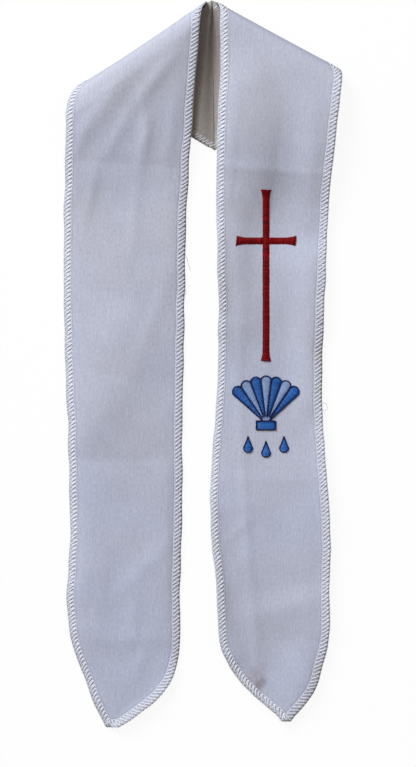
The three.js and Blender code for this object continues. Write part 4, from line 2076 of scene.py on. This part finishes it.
RIGHT_HALF = StoleHalf(
    name="right_half",
    side=Side.RIGHT,
    inner_edge=EdgeLine((
        (-297.9, 67), (-292, 61.5), (-280, 47), (-265, 32), (-250, 21.5), (-236, 15.6), (-215, 13.3),
        (-180, 11.2), (-150, 7.8), (-118, 6.6), (-80, 7.8), (-45, 11), (-10, 12.8), (40, 13.3),
        (110, 11.8), (160, 11.7), (215, 13.3), (255, 15.4), (283, 15),
    )),
    outer_edge=EdgeLine((
        (-297.9, 74), (-294, 76.5), (-288, 81.6), (-278, 89.6), (-265, 96.2), (-250, 100.6),
        (-234, 104.6), (-190, 105.9), (-150, 106.6), (-112, 105), (-75, 102), (-40, 100), (-10, 99.6),
        (60, 102.2), (120, 104.6), (165, 108), (198, 111.5), (222, 114.1),
    )),
    rest_levels=(132, 121),
    crest=Span(inner=(15, 283), outer=(114.1, 222)),
    fold=Span(inner=(11.5, 300.4), outer=(112.6, 245.9)),
    landing=Span(inner=(10.8, 300.8), outer=(90, 234.5)),
    seam=SEAM,
    rise_inner=16,
    rise_outer=9,
    fold_sag=0.3,
    back_bow=0,
    flat=(108, 690),
    area=58240,
    front_creases=(
        # Above the level where the front rests
        Crease((30, 172), (40, 224), 15, 1, right=17),
        Crease((22, 170), (27, 226), 12, 2.3, right=18),
        Crease((16, 213), (62, 234), 28, 3.2, right=60),
        Crease((114, 242), (112, 190), 14, 3.6, right=32),
        # The packing crease at that level: a fine line, and the slope that falls away below it
        Crease((12, 165.8), (108, 157.2), 3.5, 0.6, pressed=True),
        Crease((27, 164.4), (112, 156.8), 90, 1.4, right=20, fade=13),
        Crease((28, 150), (60, 147), 70, 3.6, right=32, fade=34),
        # The inner side stands up as a long step
        Crease((22, 132), (30, 40), 17, 6.6, right=90, fade=24),
        Crease((30, 40), (30, -14), 7, 1.2, right=18),
        Crease((30.5, -14), (35, -100), 4.5, 0.65),
        Crease((35, -100), (38, -160), 4.5, 0.65),
        Crease((38, -160), (48, -264), 5, 0.6),
        # A hump across, and the cloth lifts towards its outer edge
        Crease((94, 204), (93, 130), 22, 3, right=13),
        Crease((70, 168), (67, 112), 18, -2.4, right=14),
        Crease((73, 58), (71, 2), 15, -1.9, right=14),
        Crease((58, 79), (106, 71), 26, 4.2, right=55, fade=14),
        Crease((91, -30), (93, 84), 15, 4, right=10),
        Crease((110, -40), (112, -90), 20, 2.6, right=26),
        Crease((114, -100), (114, -176), 20, 4, right=30),
        # The lower packing crease and the pointed end
        Crease((8, -96), (103, -97.5), 25, 2.2, pressed=True, right=60),
        Crease((22, -146), (38, -131), 4, 0.4),
        Crease((8, -172), (25, -240), 9, 1.8, right=22),
        Crease((6, -128), (16, -236), 46, 3.4, right=12),
        Crease((5, -112), (8, -196), 11, 1.8),
        Crease((86, -184), (86, -214), 9, 1, right=30, fade=40),
        Crease((50, -210), (108, -196), 13, 2.2, right=22),
        Crease((97, -232), (78, -296), 18, 5.6, right=23),
    ),
    back_creases=(
        Crease((22, 286), (16, 200), 9, 0.8),
        Crease((45, 268), (40, 212), 8, 1),
        Crease((72, 252), (62, 220), 7, 0.8),
    ),
    ripple=Ripple(seed=6, shortest=22, longest=75, height=0.16),
    edge_ripple=Ripple(seed=9, shortest=14, longest=60, height=0.22),
    rise_bend=2.4,
    tail=(
        (98.5, -33.5), (101.5, -32.8), (103.6, -34.6), (103.8, -37.4), (102.2, -39.4), (100.2, -38.8),
        (98.6, -40.4),
    ),
    tail_lift=0.2,
    crown=3.2,
    droop_inner=(
        (-240, 0.6), (-205, -0.4), (-120, -0.2), (-84, 2.8), (-48, 1.8), (-12, 2.6),
        (12, 1.7), (52, -1.4), (106, -1.6), (126, 2.2), (144, 3.6), (170, 3.2),
        (222, 3.6), (250, 2.4),
    ),
    droop_outer=(
        (-258, 1.6), (-222, -0.4), (-60, -0.9), (-26, 1.8), (8, 2.4), (40, -2), (200, -0.9),
    ),
)

DROPS = ("embroidered_drop_left", "embroidered_drop_middle", "embroidered_drop_right")


# ---------- Studio ----------


@dataclass(frozen=True)
class Studio:
    """A pale floor, soft light from above the neck on the left, and a camera looking straight down.

    Attributes, lengths in metres:
        view_height: Height of what the camera sees.
        aim: Where it looks, from the middle of the stole.
        sensor: Size of the long side of its sensor, in millimetres.
        key_size: Side of the main light, a square.
        key_power: Power of the main light, in watts.
        floor_glow: Brightness that is added to the floor where the camera sees it.
    """

    camera_height: float = 4.0
    view_height: float = 0.6392
    aim: Place = (0.0048, -0.0167)
    sensor: float = 36.0
    far_end: float = 50.0
    key_from: tuple[float, float, float] = (-2.25, 3.22, 2.857)
    key_size: float = 2.56
    key_power: float = 221.0
    key_colour: Colour = (0.947, 1.01, 1.06)
    sky_colour: Colour = (1.08, 0.985, 0.91)
    sky_strength: float = 0.24
    floor_reach: float = 12.0
    floor_colour: Colour = (0.08, 0.08, 0.08)
    floor_glow: float = 0.93

    def camera(self, centre: Vector) -> None:
        """Hangs the camera over the stole.

        Args:
            centre: Middle of the stole, in metres.
        """
        data = bpy.data.cameras.new("camera")
        data.sensor_width = self.sensor
        data.lens = self.sensor * self.camera_height / self.view_height
        data.clip_end = self.far_end
        camera = bpy.data.objects.new("camera", data)
        camera.location = (centre.x + self.aim[0], centre.y + self.aim[1], self.camera_height)
        bpy.context.scene.collection.objects.link(camera)
        bpy.context.scene.camera = camera

    def key_light(self) -> None:
        """Adds the main light, a soft square aimed at the stole."""
        data = bpy.data.lights.new("key", "AREA")
        data.shape = "SQUARE"
        data.size = self.key_size
        data.energy = self.key_power
        data.color = self.key_colour
        light = bpy.data.objects.new("key", data)
        light.location = self.key_from
        light.rotation_euler = Vector(self.key_from).to_track_quat("Z", "Y").to_euler()
        bpy.context.scene.collection.objects.link(light)

    def sky(self) -> None:
        """Sets the even light from all round."""
        world = bpy.data.worlds.new("studio")
        world.use_nodes = True
        background = world.node_tree.nodes["Background"]
        background.inputs["Color"].default_value = (*self.sky_colour, 1.0)
        background.inputs["Strength"].default_value = self.sky_strength
        bpy.context.scene.world = world

    def floor(self) -> None:
        """Lays the floor, which isn't part of the stole. Its glow is seen but lights nothing."""
        far = self.floor_reach / MM
        corners = np.array([(x, y, 0.0) for x, y in ((-far, -far), (far, -far), (far, far), (-far, far))])
        floor = MeshDraft(corners, [(0, 1, 2, 3)]).build("studio_floor")
        material, sheet, shader = start_material("studio_floor")
        shader.inputs["Base Color"].default_value = (*self.floor_colour, 1.0)
        shader.inputs["Roughness"].default_value = 0.9
        shader.inputs["Specular IOR Level"].default_value = 0.1
        shader.inputs["Emission Color"].default_value = (1.0, 1.0, 1.0, 1.0)
        seen = sheet.add("ShaderNodeLightPath").outputs["Is Camera Ray"]
        sheet.link(sheet.math("MULTIPLY", seen, self.floor_glow), shader.inputs["Emission Strength"])
        floor.data.materials.append(material)
        floor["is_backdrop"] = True

    def build(self, centre: Vector) -> None:
        """Sets up everything round the stole.

        Args:
            centre: Middle of the stole, in metres.
        """
        self.camera(centre)
        self.key_light()
        self.sky()
        self.floor()
        bpy.context.scene.view_settings.view_transform = "Standard"


# ---------- Assembly ----------


class Stole:
    """The whole stole: two halves of cloth with their overlock, and the embroidery on the right front."""

    def __init__(self) -> None:
        """Makes the finishes."""
        effects = Effects()
        self.twill = TwillFinish().material(effects)
        finishes = {
            "white": OVERLOCK_THREAD,
            "red": RED_THREAD,
            "mid": BLUE_THREAD,
            "light": LIGHT_BLUE_THREAD,
            "navy": NAVY_THREAD,
        }
        self.threads = {key: finish.material(effects) for key, finish in finishes.items()}

    @staticmethod
    def finish(piece: Object, material: Material, slot: str) -> None:
        """Dresses a piece and lets it ride with the stole.

        Args:
            piece: The piece.
            material: Its material.
            slot: Name of its material slot. Not used.
        """
        piece.data.materials.append(material)
        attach(piece, "root")
        log.info("%s: %d faces", piece.name, len(piece.data.polygons))

    def half(self, half: StoleHalf) -> ClothMap:
        """Builds a half's cloth and overlock.

        Args:
            half: The half.

        Returns:
            Where its cloth lies.
        """
        grid = half.grid()
        cloth_map = ClothMap(grid)
        cloth = half.sheet(grid)
        self.finish(cloth, self.twill, "white_twill")
        threads = ThreadBundle(cloth_map, sides=6)
        overlock = Overlock(half.border(grid), threads, seed=11 + half.side.value)
        overlock.sew()
        overlock.fray(hairs=150)
        overlock.tail(half.tail, half.tail_lift)
        edge = threads.build(f"{half.name}_overlock")
        self.finish(edge, self.threads["white"], "white_twill")
        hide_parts(half.name)
        flat = tuple(size * MM for size in half.flat)
        return cloth_map

    def embroidery(self, cloth: ClothMap) -> None:
        """Stitches the motifs on the right front.

        Args:
            cloth: Where the right half's cloth lies.
        """
        cross = CrossMotif(*middle_and_levels("embroidered_cross")).build(cloth)
        self.finish(cross, self.threads["red"], "red_thread")
        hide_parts("embroidered_cross")
        middle, foot, _ = middle_and_levels("embroidered_shell")
        pieces = ShellMotif(middle, foot).build(cloth)
        for key, piece in pieces.items():
            self.finish(piece, self.threads[key], "blue_thread")
        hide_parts("embroidered_shell")
        for name in DROPS:
            middle, _, top = middle_and_levels(name)
            drop = DropMotif(name, middle, top)
            pieces = drop.build(cloth)
            for key, piece in pieces.items():
                self.finish(piece, self.threads[key], "blue_thread")
            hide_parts(drop.name)


def main() -> None:
    """Builds the stole in its studio and hands it to the frame."""
    logging.basicConfig(level=logging.INFO, format="%(name)s: %(message)s")
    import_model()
    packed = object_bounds()
    centre = (packed[0] + packed[1]) / 2.0
    Studio().build(centre)
    stole = Stole()
    stole.half(LEFT_HALF)
    right = stole.half(RIGHT_HALF)
    stole.embroidery(right)


if __name__ == "__main__":
    main()
